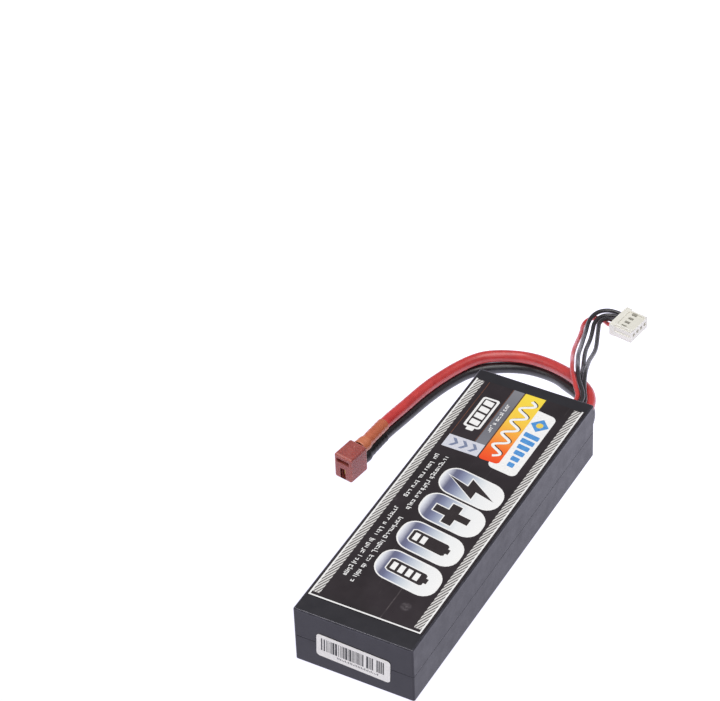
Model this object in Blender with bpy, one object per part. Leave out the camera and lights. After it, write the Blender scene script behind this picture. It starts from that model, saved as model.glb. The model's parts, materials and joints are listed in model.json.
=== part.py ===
"""Three-cell lithium polymer battery pack in a bonded two-shell hard case, with its power leads, their
plug, and the four-wire balance lead with its own plug.

The origin is the centre of the case's underside, and every size is in metres. +Y runs along the case to
the end where the leads come out, +X is to the right of it and +Z is up. The leads lie on the surface that
the case stands on.

Run with: blender --background --python part.py
"""

import math

import bmesh
import bpy
import numpy as np
from mathutils import Matrix, Vector

# Case
CASE_WIDTH = 0.046
CASE_LENGTH = 0.139
CASE_HEIGHT = 0.024
CASE_EDGE = 0.0007
CAVITY_EDGE = 0.0006
SIDE_WALL = 0.0016
FLOOR_WALL = 0.0012
SEAM_HEIGHT = 0.0115
SEAM_GAP = 0.0003
LIP_HEIGHT = 0.0012
LIP_OUTSIDE = 0.0010  # from the case's outer face
LIP_INSIDE = 0.0015
REBATE_OUTSIDE = 0.0008
CLEARANCE = 0.0003
TIGHT_CLEARANCE = 0.00015

# Labels
LABEL_THICKNESS = 0.00015
LABEL_GAP = 0.0001
TOP_LABEL_WIDTH = 0.0444
TOP_LABEL_FRONT = -0.0614
TOP_LABEL_REAR = 0.0640
TOP_LABEL_CORNER = 0.0005
BARCODE_WIDTH = 0.0284
BARCODE_HEIGHT = 0.0102
BARCODE_CORNER = 0.0014
BARCODE_X = -0.0007
BARCODE_Z = 0.0104
BARCODE_TILT = math.radians(2.4)

# Cell stack
CELL_COUNT = 3
CELL_WIDTH = 0.0414
CELL_BODY_LENGTH = 0.112
CELL_THICKNESS = 0.0063
CELL_EDGE = 0.0012
TERRACE_LENGTH = 0.006
TERRACE_WIDTH = 0.036
TERRACE_THICKNESS = 0.0008
SEPARATOR_THICKNESS = 0.0005
SEPARATOR_INSET = 0.002
FRONT_PAD_THICKNESS = 0.003
FRONT_PAD_EDGE = 0.0005
TAPE_THICKNESS = 0.00015
TAPE_WIDTH = 0.012
TAPE_PLACES = (-0.040, 0.025)
TAB_WIDTH = 0.008
TAB_THICKNESS = 0.0002
TAB_REACH = 0.0045
TAB_FOLD = 0.0028
TAB_X = 0.010
BOARD_WIDTH = 0.040
BOARD_HEIGHT = 0.0195
BOARD_THICKNESS = 0.0010

# Leads: where each leaves the case, as (x, z)
POWER_LEAD_DIAMETER = 0.0045
BALANCE_WIRE_DIAMETER = 0.0017
POWER_EXITS = {"main_lead_red": (0.0173, 0.0146), "main_lead_black": (0.0173, 0.0074)}
BALANCE_EXITS = {
    "balance_wire_1": (0.0141, 0.0204),
    "balance_wire_2": (0.0162, 0.0202),
    "balance_wire_3": (0.0145, 0.0183),
    "balance_wire_4": (0.0166, 0.01815),
}
OUTLET_LOW = (0.0119, 0.0041)
OUTLET_HIGH = (0.0203, 0.0217)
OUTLET_CORNER = 0.0016
GROMMET_FLANGE = 0.0006
GROMMET_FLANGE_THICKNESS = 0.0012

# Routes from the tab board out through the grommet to the plugs
ROUTES = {
    "main_lead_red": (
        (0.0173, 0.0606, 0.0146),
        (0.0173, 0.0660, 0.0146),
        (0.0173, 0.0712, 0.0146),
        (0.0173, 0.0752, 0.0148),
        (0.0162, 0.0801, 0.0147),
        (0.0126, 0.0855, 0.0143),
        (0.0083, 0.0890, 0.0134),
        (0.0037, 0.0921, 0.0124),
        (-0.0008, 0.0945, 0.0114),
        (-0.0061, 0.0968, 0.0102),
        (-0.0111, 0.0984, 0.0091),
        (-0.0157, 0.0994, 0.0081),
        (-0.0201, 0.0995, 0.0074),
        (-0.0275, 0.0973, 0.0071),
        (-0.0338, 0.0933, 0.0071),
        (-0.0387, 0.0862, 0.00715),
        (-0.0424, 0.0772, 0.00715),
        (-0.0453, 0.0668, 0.0072),
        (-0.0472, 0.0555, 0.0074),
        (-0.0486, 0.0445, 0.0082),
        (-0.0494, 0.0365, 0.0084),
        (-0.04985, 0.0309, 0.0084),
    ),
    "main_lead_black": (
        (0.0173, 0.0606, 0.0074),
        (0.0173, 0.0660, 0.0074),
        (0.0173, 0.0712, 0.0074),
        (0.0171, 0.0762, 0.0076),
        (0.0156, 0.0811, 0.0079),
        (0.0119, 0.0859, 0.0082),
        (0.0063, 0.0896, 0.0080),
        (0.0012, 0.0928, 0.0066),
        (-0.0037, 0.0960, 0.0052),
        (-0.0100, 0.0986, 0.0036),
        (-0.0155, 0.0995, 0.0027),
        (-0.0203, 0.0990, 0.0024),
        (-0.0286, 0.0954, 0.00235),
        (-0.0359, 0.0897, 0.00235),
        (-0.0410, 0.0802, 0.00235),
        (-0.0447, 0.0676, 0.00235),
        (-0.0472, 0.0537, 0.0024),
        (-0.0488, 0.0435, 0.00275),
        (-0.0495, 0.0365, 0.0028),
        (-0.04985, 0.0309, 0.0028),
    ),
    "balance_wire_1": (
        (0.0141, 0.0606, 0.0204),
        (0.0141, 0.0660, 0.0204),
        (0.0141, 0.0712, 0.0204),
        (0.0134, 0.0756, 0.0201),
        (0.0112, 0.0789, 0.0203),
        (0.0083, 0.0830, 0.0203),
        (0.0050, 0.0884, 0.0192),
        (0.0019, 0.0949, 0.0171),
        (-0.0009, 0.1009, 0.0138),
        (-0.0036, 0.1078, 0.0110),
        (-0.0071, 0.1185, 0.0063),
        (-0.0102, 0.1283, 0.0028),
        (-0.0118, 0.1332, 0.0013),
        (-0.0116, 0.1368, 0.0010),
        (-0.0098, 0.1391, 0.00095),
        (-0.0073, 0.1396, 0.00095),
        (-0.0053, 0.1387, 0.00115),
        (-0.0039, 0.1375, 0.0016),
        (-0.0026, 0.1365, 0.0023),
        (-0.0014, 0.1360, 0.00285),
        (0.00096, 0.13556, 0.0029),
    ),
    "balance_wire_2": (
        (0.0162, 0.0606, 0.0202),
        (0.0162, 0.0660, 0.0202),
        (0.0162, 0.0712, 0.0202),
        (0.0154, 0.0759, 0.0201),
        (0.0129, 0.0799, 0.0202),
        (0.0100, 0.0840, 0.0197),
        (0.0068, 0.0895, 0.0193),
        (0.0038, 0.0957, 0.0169),
        (0.0008, 0.1025, 0.0144),
        (-0.0022, 0.1108, 0.0106),
        (-0.0056, 0.1205, 0.0066),
        (-0.0086, 0.1295, 0.0038),
        (-0.0100, 0.1350, 0.0031),
        (-0.0092, 0.1400, 0.0032),
        (-0.0058, 0.1432, 0.0030),
        (-0.0015, 0.1435, 0.0029),
        (0.0020, 0.14298, 0.0029),
    ),
    "balance_wire_3": (
        (0.0145, 0.0606, 0.0183),
        (0.0145, 0.0660, 0.0183),
        (0.0145, 0.0712, 0.0183),
        (0.0141, 0.0762, 0.0173),
        (0.0128, 0.0799, 0.0168),
        (0.0103, 0.0843, 0.0172),
        (0.0082, 0.0894, 0.0168),
        (0.0058, 0.0958, 0.0143),
        (0.0030, 0.1026, 0.0120),
        (-0.0006, 0.1118, 0.0089),
        (-0.0036, 0.1220, 0.0054),
        (-0.0064, 0.1302, 0.0035),
        (-0.0076, 0.1350, 0.0031),
        (-0.0064, 0.1392, 0.0031),
        (-0.0030, 0.1411, 0.00295),
        (0.00165, 0.14051, 0.0029),
    ),
    "balance_wire_4": (
        (0.0166, 0.0606, 0.01815),
        (0.0166, 0.0660, 0.01815),
        (0.0166, 0.0712, 0.01815),
        (0.0161, 0.0762, 0.0182),
        (0.0140, 0.0802, 0.0185),
        (0.0117, 0.0848, 0.0186),
        (0.0096, 0.0900, 0.0181),
        (0.0073, 0.0963, 0.0158),
        (0.0047, 0.1044, 0.0122),
        (0.0023, 0.1140, 0.0086),
        (-0.0014, 0.1236, 0.0062),
        (-0.0042, 0.1304, 0.0047),
        (-0.0053, 0.1346, 0.0042),
        (-0.0041, 0.1374, 0.0039),
        (-0.0018, 0.1385, 0.00315),
        (0.00131, 0.13803, 0.0029),
    ),
}
SAMPLES_PER_DIAMETER = 0.6
FINE_SAMPLES = 2000

# Power plug: its housing's rear face stands here, and it mates towards its own -Y
POWER_PLUG_REAR = (-0.0506, 0.0264, 0.0)
POWER_PLUG_TURN = math.radians(-9.4)
POWER_PLUG_WIDTH = 0.0078
POWER_PLUG_LENGTH = 0.0097
POWER_PLUG_HEIGHT = 0.0110
POWER_PLUG_EDGE = 0.0007
# Each polarity's height, then the width and height of its slot, its blade and its blade's tail
POWER_BLADES = {
    "positive": (0.0084, (0.0054, 0.0015), (0.0046, 0.0008), (0.0031, 0.0006)),
    "negative": (0.0029, (0.0018, 0.0044), (0.0010, 0.0036), (0.0010, 0.0022)),
}
BLADE_FRONT = 0.0085
BLADE_REAR = 0.0041
DIMPLE_RADIUS = 0.0006
DIMPLE_Y = -0.0027
SLEEVE_LENGTH = 0.0155
SLEEVE_SPACING = 0.0026
SLEEVE_INNER_RADIUS = 0.00245
SLEEVE_OUTER_RADIUS = 0.00265

# Balance plug: the middle of its rear face lies here, and it mates towards its own +X
BALANCE_PLUG_REAR = (-0.0005, 0.13955, 0.0029)
BALANCE_PLUG_TURN = math.radians(-8)
BALANCE_PITCH = 0.0025
BALANCE_PLUG_LENGTH = 0.0098
BALANCE_PLUG_WIDTH = 0.0124
BALANCE_PLUG_THICKNESS = 0.00575
BALANCE_PLUG_EDGE = 0.0003
CAVITY_SIZE = 0.0021
CRIMP_SIZE = 0.0013
CRIMP_START = 0.0024
CRIMP_LENGTH = 0.0065

STACK_HEIGHT = (
    CELL_COUNT * CELL_THICKNESS
    + (CELL_COUNT - 1) * (SEPARATOR_THICKNESS + 2 * TIGHT_CLEARANCE)
)
STACK_BASE = (CASE_HEIGHT - STACK_HEIGHT) / 2
INNER_FRONT = -CASE_LENGTH / 2 + SIDE_WALL
CELL_FRONT = INNER_FRONT + FRONT_PAD_THICKNESS + 2 * CLEARANCE
CELL_REAR = CELL_FRONT + CELL_BODY_LENGTH
TAB_START = CELL_REAR + TERRACE_LENGTH + CLEARANCE
BOARD_FRONT = TAB_START + TAB_REACH + CLEARANCE
REAR_FACE = CASE_LENGTH / 2

COLOURS = {
    "case_plastic": ((0.016, 0.016, 0.018), 0.45, 0.0),
    "label_film": ((0.020, 0.012, 0.012), 0.25, 0.0),
    "label_paper": ((0.80, 0.80, 0.80), 0.60, 0.0),
    "pouch_foil": ((0.62, 0.63, 0.65), 0.30, 1.0),
    "foam": ((0.05, 0.05, 0.05), 0.90, 0.0),
    "tape": ((0.60, 0.30, 0.04), 0.30, 0.0),
    "aluminium_tab": ((0.80, 0.80, 0.82), 0.35, 1.0),
    "nickel_tab": ((0.60, 0.58, 0.54), 0.35, 1.0),
    "board": ((0.02, 0.14, 0.06), 0.50, 0.0),
    "rubber": ((0.012, 0.012, 0.012), 0.80, 0.0),
    "red_silicone": ((0.52, 0.025, 0.022), 0.45, 0.0),
    "black_silicone": ((0.012, 0.012, 0.014), 0.45, 0.0),
    "red_shrink": ((0.60, 0.10, 0.04), 0.35, 0.0),
    "black_shrink": ((0.010, 0.010, 0.010), 0.50, 0.0),
    "plug_nylon": ((0.25, 0.045, 0.04), 0.35, 0.0),
    "ivory_nylon": ((0.76, 0.73, 0.65), 0.45, 0.0),
    "gold_contact": ((0.80, 0.58, 0.22), 0.25, 1.0),
    "tin_contact": ((0.72, 0.72, 0.70), 0.30, 1.0),
}


def clear_scene():
    for thing in list(bpy.data.objects):
        bpy.data.objects.remove(thing, do_unlink=True)


def new_collection(name):
    collection = bpy.data.collections.new(name)
    bpy.context.scene.collection.children.link(collection)
    return collection


def material(name):
    made = bpy.data.materials.get(name)
    if made is None:
        colour, roughness, metallic = COLOURS[name]
        made = bpy.data.materials.new(name)
        made.use_nodes = True
        shader = made.node_tree.nodes["Principled BSDF"]
        shader.inputs["Base Color"].default_value = (*colour, 1.0)
        shader.inputs["Roughness"].default_value = roughness
        shader.inputs["Metallic"].default_value = metallic
    return made


def add_object(name, data, material_name=None, parent=None):
    """A sub-part of the pack, or a cutter where it has no material."""
    thing = bpy.data.objects.new(name, data)
    if material_name is None:
        CUTTERS.objects.link(thing)
        thing.hide_render = True
        thing.display_type = "WIRE"
    else:
        PACK.objects.link(thing)
        data.materials.append(material(material_name))
    thing.parent = parent
    return thing


def mesh_from(shape, name):
    """The bmesh as a mesh, its faces out and its round faces smooth."""
    bmesh.ops.recalc_face_normals(shape, faces=shape.faces)
    mesh = bpy.data.meshes.new(name)
    shape.to_mesh(mesh)
    shape.free()
    mesh.shade_smooth()
    mesh.set_sharp_from_angle(angle=math.radians(35))
    return mesh


def box_shape(low, high):
    shape = bmesh.new()
    bmesh.ops.create_cube(shape, size=1)
    low, high = Vector(low), Vector(high)
    place = Matrix.Translation((low + high) / 2) @ Matrix.Diagonal((*(high - low), 1))
    bmesh.ops.transform(shape, matrix=place, verts=shape.verts)
    return shape


def box(name, low, high, material_name=None, parent=None, edge=0.0, segments=2, along=(0, 1, 2)):
    """A box between two corners, whose edges along the given axes are rounded."""
    shape = box_shape(low, high)
    if edge:
        rounded = []
        for line in shape.edges:
            step = line.verts[1].co - line.verts[0].co
            if max(range(3), key=lambda axis: abs(step[axis])) in along:
                rounded.append(line)
        bmesh.ops.bevel(
            shape, geom=rounded, offset=edge, segments=segments, profile=0.5, affect="EDGES"
        )
    return add_object(name, mesh_from(shape, name), material_name, parent)


def apply_boolean(target, other, operation):
    change = target.modifiers.new(operation.lower(), "BOOLEAN")
    change.operation = operation
    change.solver = "EXACT"
    change.object = other


def cut(target, *cutters):
    for cutter in cutters:
        apply_boolean(target, cutter, "DIFFERENCE")


def cylinders(name, places, depth_range, parent=None):
    """One cutter of round bores along Y, each place being (x, z, radius, sides)."""
    shape = bmesh.new()
    start, end = depth_range
    for x, z, radius, sides in places:
        place = Matrix.Translation((x, (start + end) / 2, z)) @ Matrix.Rotation(math.pi / 2, 4, "X")
        bmesh.ops.create_cone(
            shape,
            cap_ends=True,
            segments=sides,
            radius1=radius,
            radius2=radius,
            depth=end - start,
            matrix=place,
        )
    return add_object(name, mesh_from(shape, name), None, parent)


def smooth_curve(route, spacing):
    """Evenly spaced points on the natural cubic spline through the route's points."""
    knots = np.array(route, dtype=float)
    steps = np.linalg.norm(np.diff(knots, axis=0), axis=1)
    places = np.concatenate(([0.0], np.cumsum(steps)))
    count = len(knots)
    system = np.eye(count)
    right = np.zeros((count, 3))
    for i in range(1, count - 1):
        system[i, i - 1 : i + 2] = steps[i - 1], 2 * (steps[i - 1] + steps[i]), steps[i]
        slopes = (knots[i + 1] - knots[i]) / steps[i], (knots[i] - knots[i - 1]) / steps[i - 1]
        right[i] = 6 * (slopes[0] - slopes[1])
    bends = np.linalg.solve(system, right)
    fine = []
    for place in np.linspace(0, places[-1], FINE_SAMPLES):
        i = min(max(int(np.searchsorted(places, place)) - 1, 0), count - 2)
        before, after, step = place - places[i], places[i + 1] - place, steps[i]
        cubic = (bends[i] * after**3 + bends[i + 1] * before**3) / (6 * step)
        start = (knots[i] / step - bends[i] * step / 6) * after
        end = (knots[i + 1] / step - bends[i + 1] * step / 6) * before
        fine.append(cubic + start + end)
    return evenly_spaced(np.array(fine), spacing)


def evenly_spaced(points, spacing):
    lengths = np.concatenate(([0.0], np.cumsum(np.linalg.norm(np.diff(points, axis=0), axis=1))))
    count = max(2, round(lengths[-1] / spacing) + 1)
    wanted = np.linspace(0, lengths[-1], count)
    return np.stack([np.interp(wanted, lengths, points[:, axis]) for axis in range(3)], axis=1)


def tube_curve(name, points, radius, resolution):
    curve = bpy.data.curves.new(name, "CURVE")
    curve.dimensions = "3D"
    curve.bevel_depth = radius
    curve.bevel_resolution = resolution
    curve.use_fill_caps = True
    spline = curve.splines.new("POLY")
    spline.points.add(len(points) - 1)
    for point, place in zip(spline.points, points):
        point.co = (*place, 1.0)
    spline.use_smooth = True
    return curve


def tube_as_mesh(name, points, radius, resolution, material_name=None):
    """A tube whose caps are welded on, so that a Boolean can use it."""
    curve = tube_curve(name + "_curve", points, radius, resolution)
    guide = bpy.data.objects.new(name + "_curve", curve)
    CUTTERS.objects.link(guide)
    graph = bpy.context.evaluated_depsgraph_get()
    mesh = bpy.data.meshes.new_from_object(guide.evaluated_get(graph))
    shape = bmesh.new()
    shape.from_mesh(mesh)
    bmesh.ops.remove_doubles(shape, verts=shape.verts, dist=1e-6)
    bpy.data.objects.remove(guide, do_unlink=True)
    bpy.data.meshes.remove(mesh)
    return add_object(name, mesh_from(shape, name), material_name)


def case_shells():
    half_width, half_length = CASE_WIDTH / 2, CASE_LENGTH / 2
    far = CASE_LENGTH

    def inset(distance, low_z, high_z):
        corner = half_width - distance, half_length - distance
        return (-corner[0], -corner[1], low_z), (corner[0], corner[1], high_z)

    cavity = box("case_cavity", *inset(SIDE_WALL, FLOOR_WALL, CASE_HEIGHT - FLOOR_WALL), edge=CAVITY_EDGE)
    low_split, high_split = SEAM_HEIGHT - SEAM_GAP / 2, SEAM_HEIGHT + SEAM_GAP / 2
    below = box("below_seam", (-far, -far, -far), (far, far, low_split))
    above = box("above_seam", (-far, -far, high_split), (far, far, far))
    outlet = box(
        "outlet_cutter",
        (OUTLET_LOW[0] - CLEARANCE, half_length - 3 * SIDE_WALL, OUTLET_LOW[1] - CLEARANCE),
        (OUTLET_HIGH[0] + CLEARANCE, half_length + SIDE_WALL, OUTLET_HIGH[1] + CLEARANCE),
        edge=OUTLET_CORNER,
        segments=3,
        along=(1,),
    )
    lip_top = SEAM_HEIGHT + LIP_HEIGHT
    lip_ring = box("lip_ring", *inset(LIP_OUTSIDE, low_split - LIP_HEIGHT, lip_top))
    lip_inside = box("lip_inside", *inset(LIP_INSIDE, 0, CASE_HEIGHT))
    cut(lip_ring, lip_inside)
    rebate = box("rebate", *inset(REBATE_OUTSIDE, 0, lip_top + CLEARANCE))

    for name, keep in (("lower_case", below), ("upper_case", above)):
        shell = box(name, *inset(0, 0, CASE_HEIGHT), "case_plastic", edge=CASE_EDGE, segments=3)
        cut(shell, cavity)
        apply_boolean(shell, keep, "INTERSECT")
        if name == "lower_case":
            apply_boolean(shell, lip_ring, "UNION")
        else:
            cut(shell, rebate)
        cut(shell, outlet)


def labels():
    top = CASE_HEIGHT + LABEL_GAP
    box(
        "top_label",
        (-TOP_LABEL_WIDTH / 2, TOP_LABEL_FRONT, top),
        (TOP_LABEL_WIDTH / 2, TOP_LABEL_REAR, top + LABEL_THICKNESS),
        "label_film",
        edge=TOP_LABEL_CORNER,
        along=(2,),
    )
    sticker = box(
        "barcode_label",
        (-BARCODE_WIDTH / 2, -LABEL_THICKNESS, -BARCODE_HEIGHT / 2),
        (BARCODE_WIDTH / 2, 0, BARCODE_HEIGHT / 2),
        "label_paper",
        edge=BARCODE_CORNER,
        segments=4,
        along=(1,),
    )
    sticker.location = (BARCODE_X, -CASE_LENGTH / 2 - LABEL_GAP, BARCODE_Z)
    sticker.rotation_euler.y = BARCODE_TILT


def cell_base(index):
    return STACK_BASE + index * (CELL_THICKNESS + SEPARATOR_THICKNESS + 2 * TIGHT_CLEARANCE)


def cells():
    half = CELL_WIDTH / 2
    for index in range(CELL_COUNT):
        base = cell_base(index)
        middle = base + CELL_THICKNESS / 2
        cell = box(
            f"cell_{index + 1}",
            (-half, CELL_FRONT, base),
            (half, CELL_REAR, base + CELL_THICKNESS),
            "pouch_foil",
            edge=CELL_EDGE,
        )
        terrace = box(
            f"cell_{index + 1}_terrace",
            (-TERRACE_WIDTH / 2, CELL_REAR - TERRACE_LENGTH, middle - TERRACE_THICKNESS / 2),
            (TERRACE_WIDTH / 2, CELL_REAR + TERRACE_LENGTH, middle + TERRACE_THICKNESS / 2),
        )
        apply_boolean(cell, terrace, "UNION")


def folded_tab(name, x, z, fold, material_name):
    """A flat strip that runs back from its cell and is folded up or down the tab board."""
    half = TAB_THICKNESS / 2
    outline = (
        (0, -half),
        (TAB_REACH, -half),
        (TAB_REACH, TAB_FOLD),
        (TAB_REACH - TAB_THICKNESS, TAB_FOLD),
        (TAB_REACH - TAB_THICKNESS, half),
        (0, half),
    )
    curve = bpy.data.curves.new(name, "CURVE")
    curve.dimensions = "2D"
    curve.fill_mode = "BOTH"
    curve.extrude = TAB_WIDTH / 2
    spline = curve.splines.new("POLY")
    spline.points.add(len(outline) - 1)
    for point, (reach, rise) in zip(spline.points, outline):
        point.co = (reach, rise, 0.0, 1.0)
    spline.use_cyclic_u = True
    tab = add_object(name, curve, material_name)
    tab.location = (x, TAB_START, z)
    across = Vector((fold, 0, 0))
    along = Vector((0, 1, 0))
    up = Vector((0, 0, fold))
    tab.rotation_euler = Matrix((along, up, across)).transposed().to_euler()


def cell_tabs():
    """The cells are in series, so each positive tab is folded towards the next cell's negative tab."""
    for index in range(CELL_COUNT):
        middle = cell_base(index) + CELL_THICKNESS / 2
        side = 1 if index % 2 == 0 else -1
        positive_fold = 1 if index < CELL_COUNT - 1 else -1
        negative_fold = -1 if index > 0 else 1
        number = index + 1
        folded_tab(f"cell_{number}_positive_tab", side * TAB_X, middle, positive_fold, "aluminium_tab")
        folded_tab(f"cell_{number}_negative_tab", -side * TAB_X, middle, negative_fold, "nickel_tab")


def stack_packing():
    for index in range(CELL_COUNT - 1):
        base = cell_base(index) + CELL_THICKNESS + TIGHT_CLEARANCE
        half = CELL_WIDTH / 2 - SEPARATOR_INSET
        box(
            f"cell_separator_{index + 1}",
            (-half, CELL_FRONT + SEPARATOR_INSET, base),
            (half, CELL_REAR - SEPARATOR_INSET, base + SEPARATOR_THICKNESS),
            "foam",
        )
    half = CELL_WIDTH / 2
    box(
        "front_foam_pad",
        (-half, INNER_FRONT + CLEARANCE, FLOOR_WALL + CLEARANCE),
        (half, INNER_FRONT + CLEARANCE + FRONT_PAD_THICKNESS, CASE_HEIGHT - FLOOR_WALL - CLEARANCE),
        "foam",
        edge=FRONT_PAD_EDGE,
    )
    inside = CELL_WIDTH / 2 + TIGHT_CLEARANCE, STACK_BASE - TIGHT_CLEARANCE
    outside = inside[0] + TAPE_THICKNESS, inside[1] - TAPE_THICKNESS
    hole = box(
        "tape_hole",
        (-inside[0], -CASE_LENGTH, inside[1]),
        (inside[0], CASE_LENGTH, CASE_HEIGHT - inside[1]),
    )
    for index, place in enumerate(TAPE_PLACES):
        band = box(
            f"stack_tape_{index + 1}",
            (-outside[0], place - TAPE_WIDTH / 2, outside[1]),
            (outside[0], place + TAPE_WIDTH / 2, CASE_HEIGHT - outside[1]),
            "tape",
        )
        cut(band, hole)


def tab_board():
    middle = CASE_HEIGHT / 2
    box(
        "tab_board",
        (-BOARD_WIDTH / 2, BOARD_FRONT, middle - BOARD_HEIGHT / 2),
        (BOARD_WIDTH / 2, BOARD_FRONT + BOARD_THICKNESS, middle + BOARD_HEIGHT / 2),
        "board",
    )


def outlet_grommet():
    """A rubber block in the rear wall, held by a flange on each side and bored for each lead."""
    inner_face = REAR_FACE - SIDE_WALL

    def slab(name, margin, start, end, material_name=None):
        low = OUTLET_LOW[0] - margin, start, OUTLET_LOW[1] - margin
        high = OUTLET_HIGH[0] + margin, end, OUTLET_HIGH[1] + margin
        return box(name, low, high, material_name, edge=OUTLET_CORNER + margin, segments=3, along=(1,))

    flange = GROMMET_FLANGE_THICKNESS
    front = inner_face - CLEARANCE - flange
    rear = REAR_FACE + CLEARANCE + flange
    grommet = slab("outlet_grommet", 0, front + flange / 2, rear - flange / 2, "rubber")
    apply_boolean(grommet, slab("inner_flange", GROMMET_FLANGE, front, front + flange), "UNION")
    apply_boolean(grommet, slab("outer_flange", GROMMET_FLANGE, rear - flange, rear), "UNION")
    bores = []
    for x, z in POWER_EXITS.values():
        bores.append((x, z, POWER_LEAD_DIAMETER / 2 + CLEARANCE, 14))
    for x, z in BALANCE_EXITS.values():
        bores.append((x, z, BALANCE_WIRE_DIAMETER / 2 + TIGHT_CLEARANCE, 10))
    cut(grommet, cylinders("grommet_bores", bores, (front - flange, rear + flange)))


def leads():
    """Each lead is one tube. The result is the points that each power lead follows."""
    followed = {}
    for name, route in ROUTES.items():
        power = name in POWER_EXITS
        diameter = POWER_LEAD_DIAMETER if power else BALANCE_WIRE_DIAMETER
        red = name in ("main_lead_red", "balance_wire_1")
        points = smooth_curve(route, diameter / SAMPLES_PER_DIAMETER)
        curve = tube_curve(name, points, diameter / 2, 3 if power else 2)
        add_object(name, curve, "red_silicone" if red else "black_silicone")
        followed[name] = points
    return followed


def heat_shrink(name, lead_points, plug_point, material_name):
    """A sleeve round the end of a lead, from the plug's housing back along the lead."""
    joined = np.vstack((lead_points, plug_point))
    line = evenly_spaced(joined, SLEEVE_SPACING / 8)
    lengths = np.concatenate(([0.0], np.cumsum(np.linalg.norm(np.diff(line, axis=0), axis=1))))
    line = line[lengths >= lengths[-1] - SLEEVE_LENGTH]
    line = evenly_spaced(line, SLEEVE_SPACING)
    overrun = 0.001
    first = line[0] + overrun * (line[0] - line[1]) / np.linalg.norm(line[0] - line[1])
    last = line[-1] + overrun * (line[-1] - line[-2]) / np.linalg.norm(line[-1] - line[-2])
    sleeve = tube_as_mesh(name, line, SLEEVE_OUTER_RADIUS, 4, material_name)
    bore = tube_as_mesh(name + "_bore", np.vstack((first, line, last)), SLEEVE_INNER_RADIUS, 4)
    cut(sleeve, bore)


def frame_at(name, place, turn):
    empty = bpy.data.objects.new(name, None)
    PACK.objects.link(empty)
    empty.location = place
    empty.rotation_euler.z = turn
    return empty


def power_plug(lead_points):
    frame = frame_at("power_plug_frame", POWER_PLUG_REAR, POWER_PLUG_TURN)
    half = POWER_PLUG_WIDTH / 2
    housing = box(
        "power_plug_housing",
        (-half, -POWER_PLUG_LENGTH, 0),
        (half, 0, POWER_PLUG_HEIGHT),
        "plug_nylon",
        frame,
        edge=POWER_PLUG_EDGE,
    )
    for polarity, (z, slot, blade, tail_size) in POWER_BLADES.items():
        slot_cutter = box(
            f"{polarity}_slot",
            (-slot[0] / 2, -POWER_PLUG_LENGTH - CLEARANCE, z - slot[1] / 2),
            (slot[0] / 2, CLEARANCE, z + slot[1] / 2),
            parent=frame,
        )
        cut(housing, slot_cutter)
        contact = box(
            f"power_contact_{polarity}",
            (-blade[0] / 2, -BLADE_FRONT, z - blade[1] / 2),
            (blade[0] / 2, -CLEARANCE, z + blade[1] / 2),
            "gold_contact",
            frame,
        )
        tail = box(
            f"{polarity}_tail",
            (-tail_size[0] / 2, -BLADE_FRONT / 2, z - tail_size[1] / 2),
            (tail_size[0] / 2, BLADE_REAR, z + tail_size[1] / 2),
            parent=frame,
        )
        apply_boolean(contact, tail, "UNION")
    dimple = bmesh.new()
    bmesh.ops.create_uvsphere(dimple, u_segments=10, v_segments=6, radius=DIMPLE_RADIUS)
    place = Matrix.Translation((0, DIMPLE_Y, POWER_PLUG_HEIGHT + DIMPLE_RADIUS / 2))
    bmesh.ops.transform(dimple, matrix=place, verts=dimple.verts)
    cut(housing, add_object("dimple", mesh_from(dimple, "dimple"), None, frame))
    turn = Matrix.Rotation(POWER_PLUG_TURN, 3, "Z")
    behind = Vector(POWER_PLUG_REAR) + turn @ Vector((0, CLEARANCE, 0))
    for name, lead in (("heat_shrink_red", "main_lead_red"), ("heat_shrink_black", "main_lead_black")):
        points = lead_points[lead]
        plug_point = (behind.x, behind.y, points[-1][2])
        heat_shrink(name, points, plug_point, name.split("_")[-1] + "_shrink")


def balance_plug():
    frame = frame_at("balance_plug_frame", BALANCE_PLUG_REAR, BALANCE_PLUG_TURN)
    half_width, half_thickness = BALANCE_PLUG_WIDTH / 2, BALANCE_PLUG_THICKNESS / 2
    housing = box(
        "balance_plug_housing",
        (0, -half_width, -half_thickness),
        (BALANCE_PLUG_LENGTH, half_width, half_thickness),
        "ivory_nylon",
        frame,
        edge=BALANCE_PLUG_EDGE,
        segments=1,
    )
    for index in range(len(BALANCE_EXITS)):
        y = BALANCE_PITCH * (index - (len(BALANCE_EXITS) - 1) / 2)
        cavity = box(
            f"balance_cavity_{index + 1}",
            (-CLEARANCE, y - CAVITY_SIZE / 2, -CAVITY_SIZE / 2),
            (BALANCE_PLUG_LENGTH + CLEARANCE, y + CAVITY_SIZE / 2, CAVITY_SIZE / 2),
            parent=frame,
        )
        cut(housing, cavity)
        box(
            f"balance_contact_{index + 1}",
            (CRIMP_START, y - CRIMP_SIZE / 2, -CRIMP_SIZE / 2),
            (CRIMP_START + CRIMP_LENGTH, y + CRIMP_SIZE / 2, CRIMP_SIZE / 2),
            "tin_contact",
            frame,
        )


clear_scene()
PACK = new_collection("lipo_battery_pack")
CUTTERS = new_collection("cutters")
case_shells()
labels()
cells()
cell_tabs()
stack_packing()
tab_board()
outlet_grommet()
power_plug(leads())
balance_plug()
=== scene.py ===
"""Looks for the three-cell lithium polymer pack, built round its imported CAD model.

Sizes are in metres, in the CAD's frame: the origin is the centre of the case's underside, +Y runs
along the case to the end where the leads come out, +X is to the right of it and +Z is up.
"""

import json
import math
import random

import bmesh
import bpy
import numpy as np
from mathutils import Matrix, Vector


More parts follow.
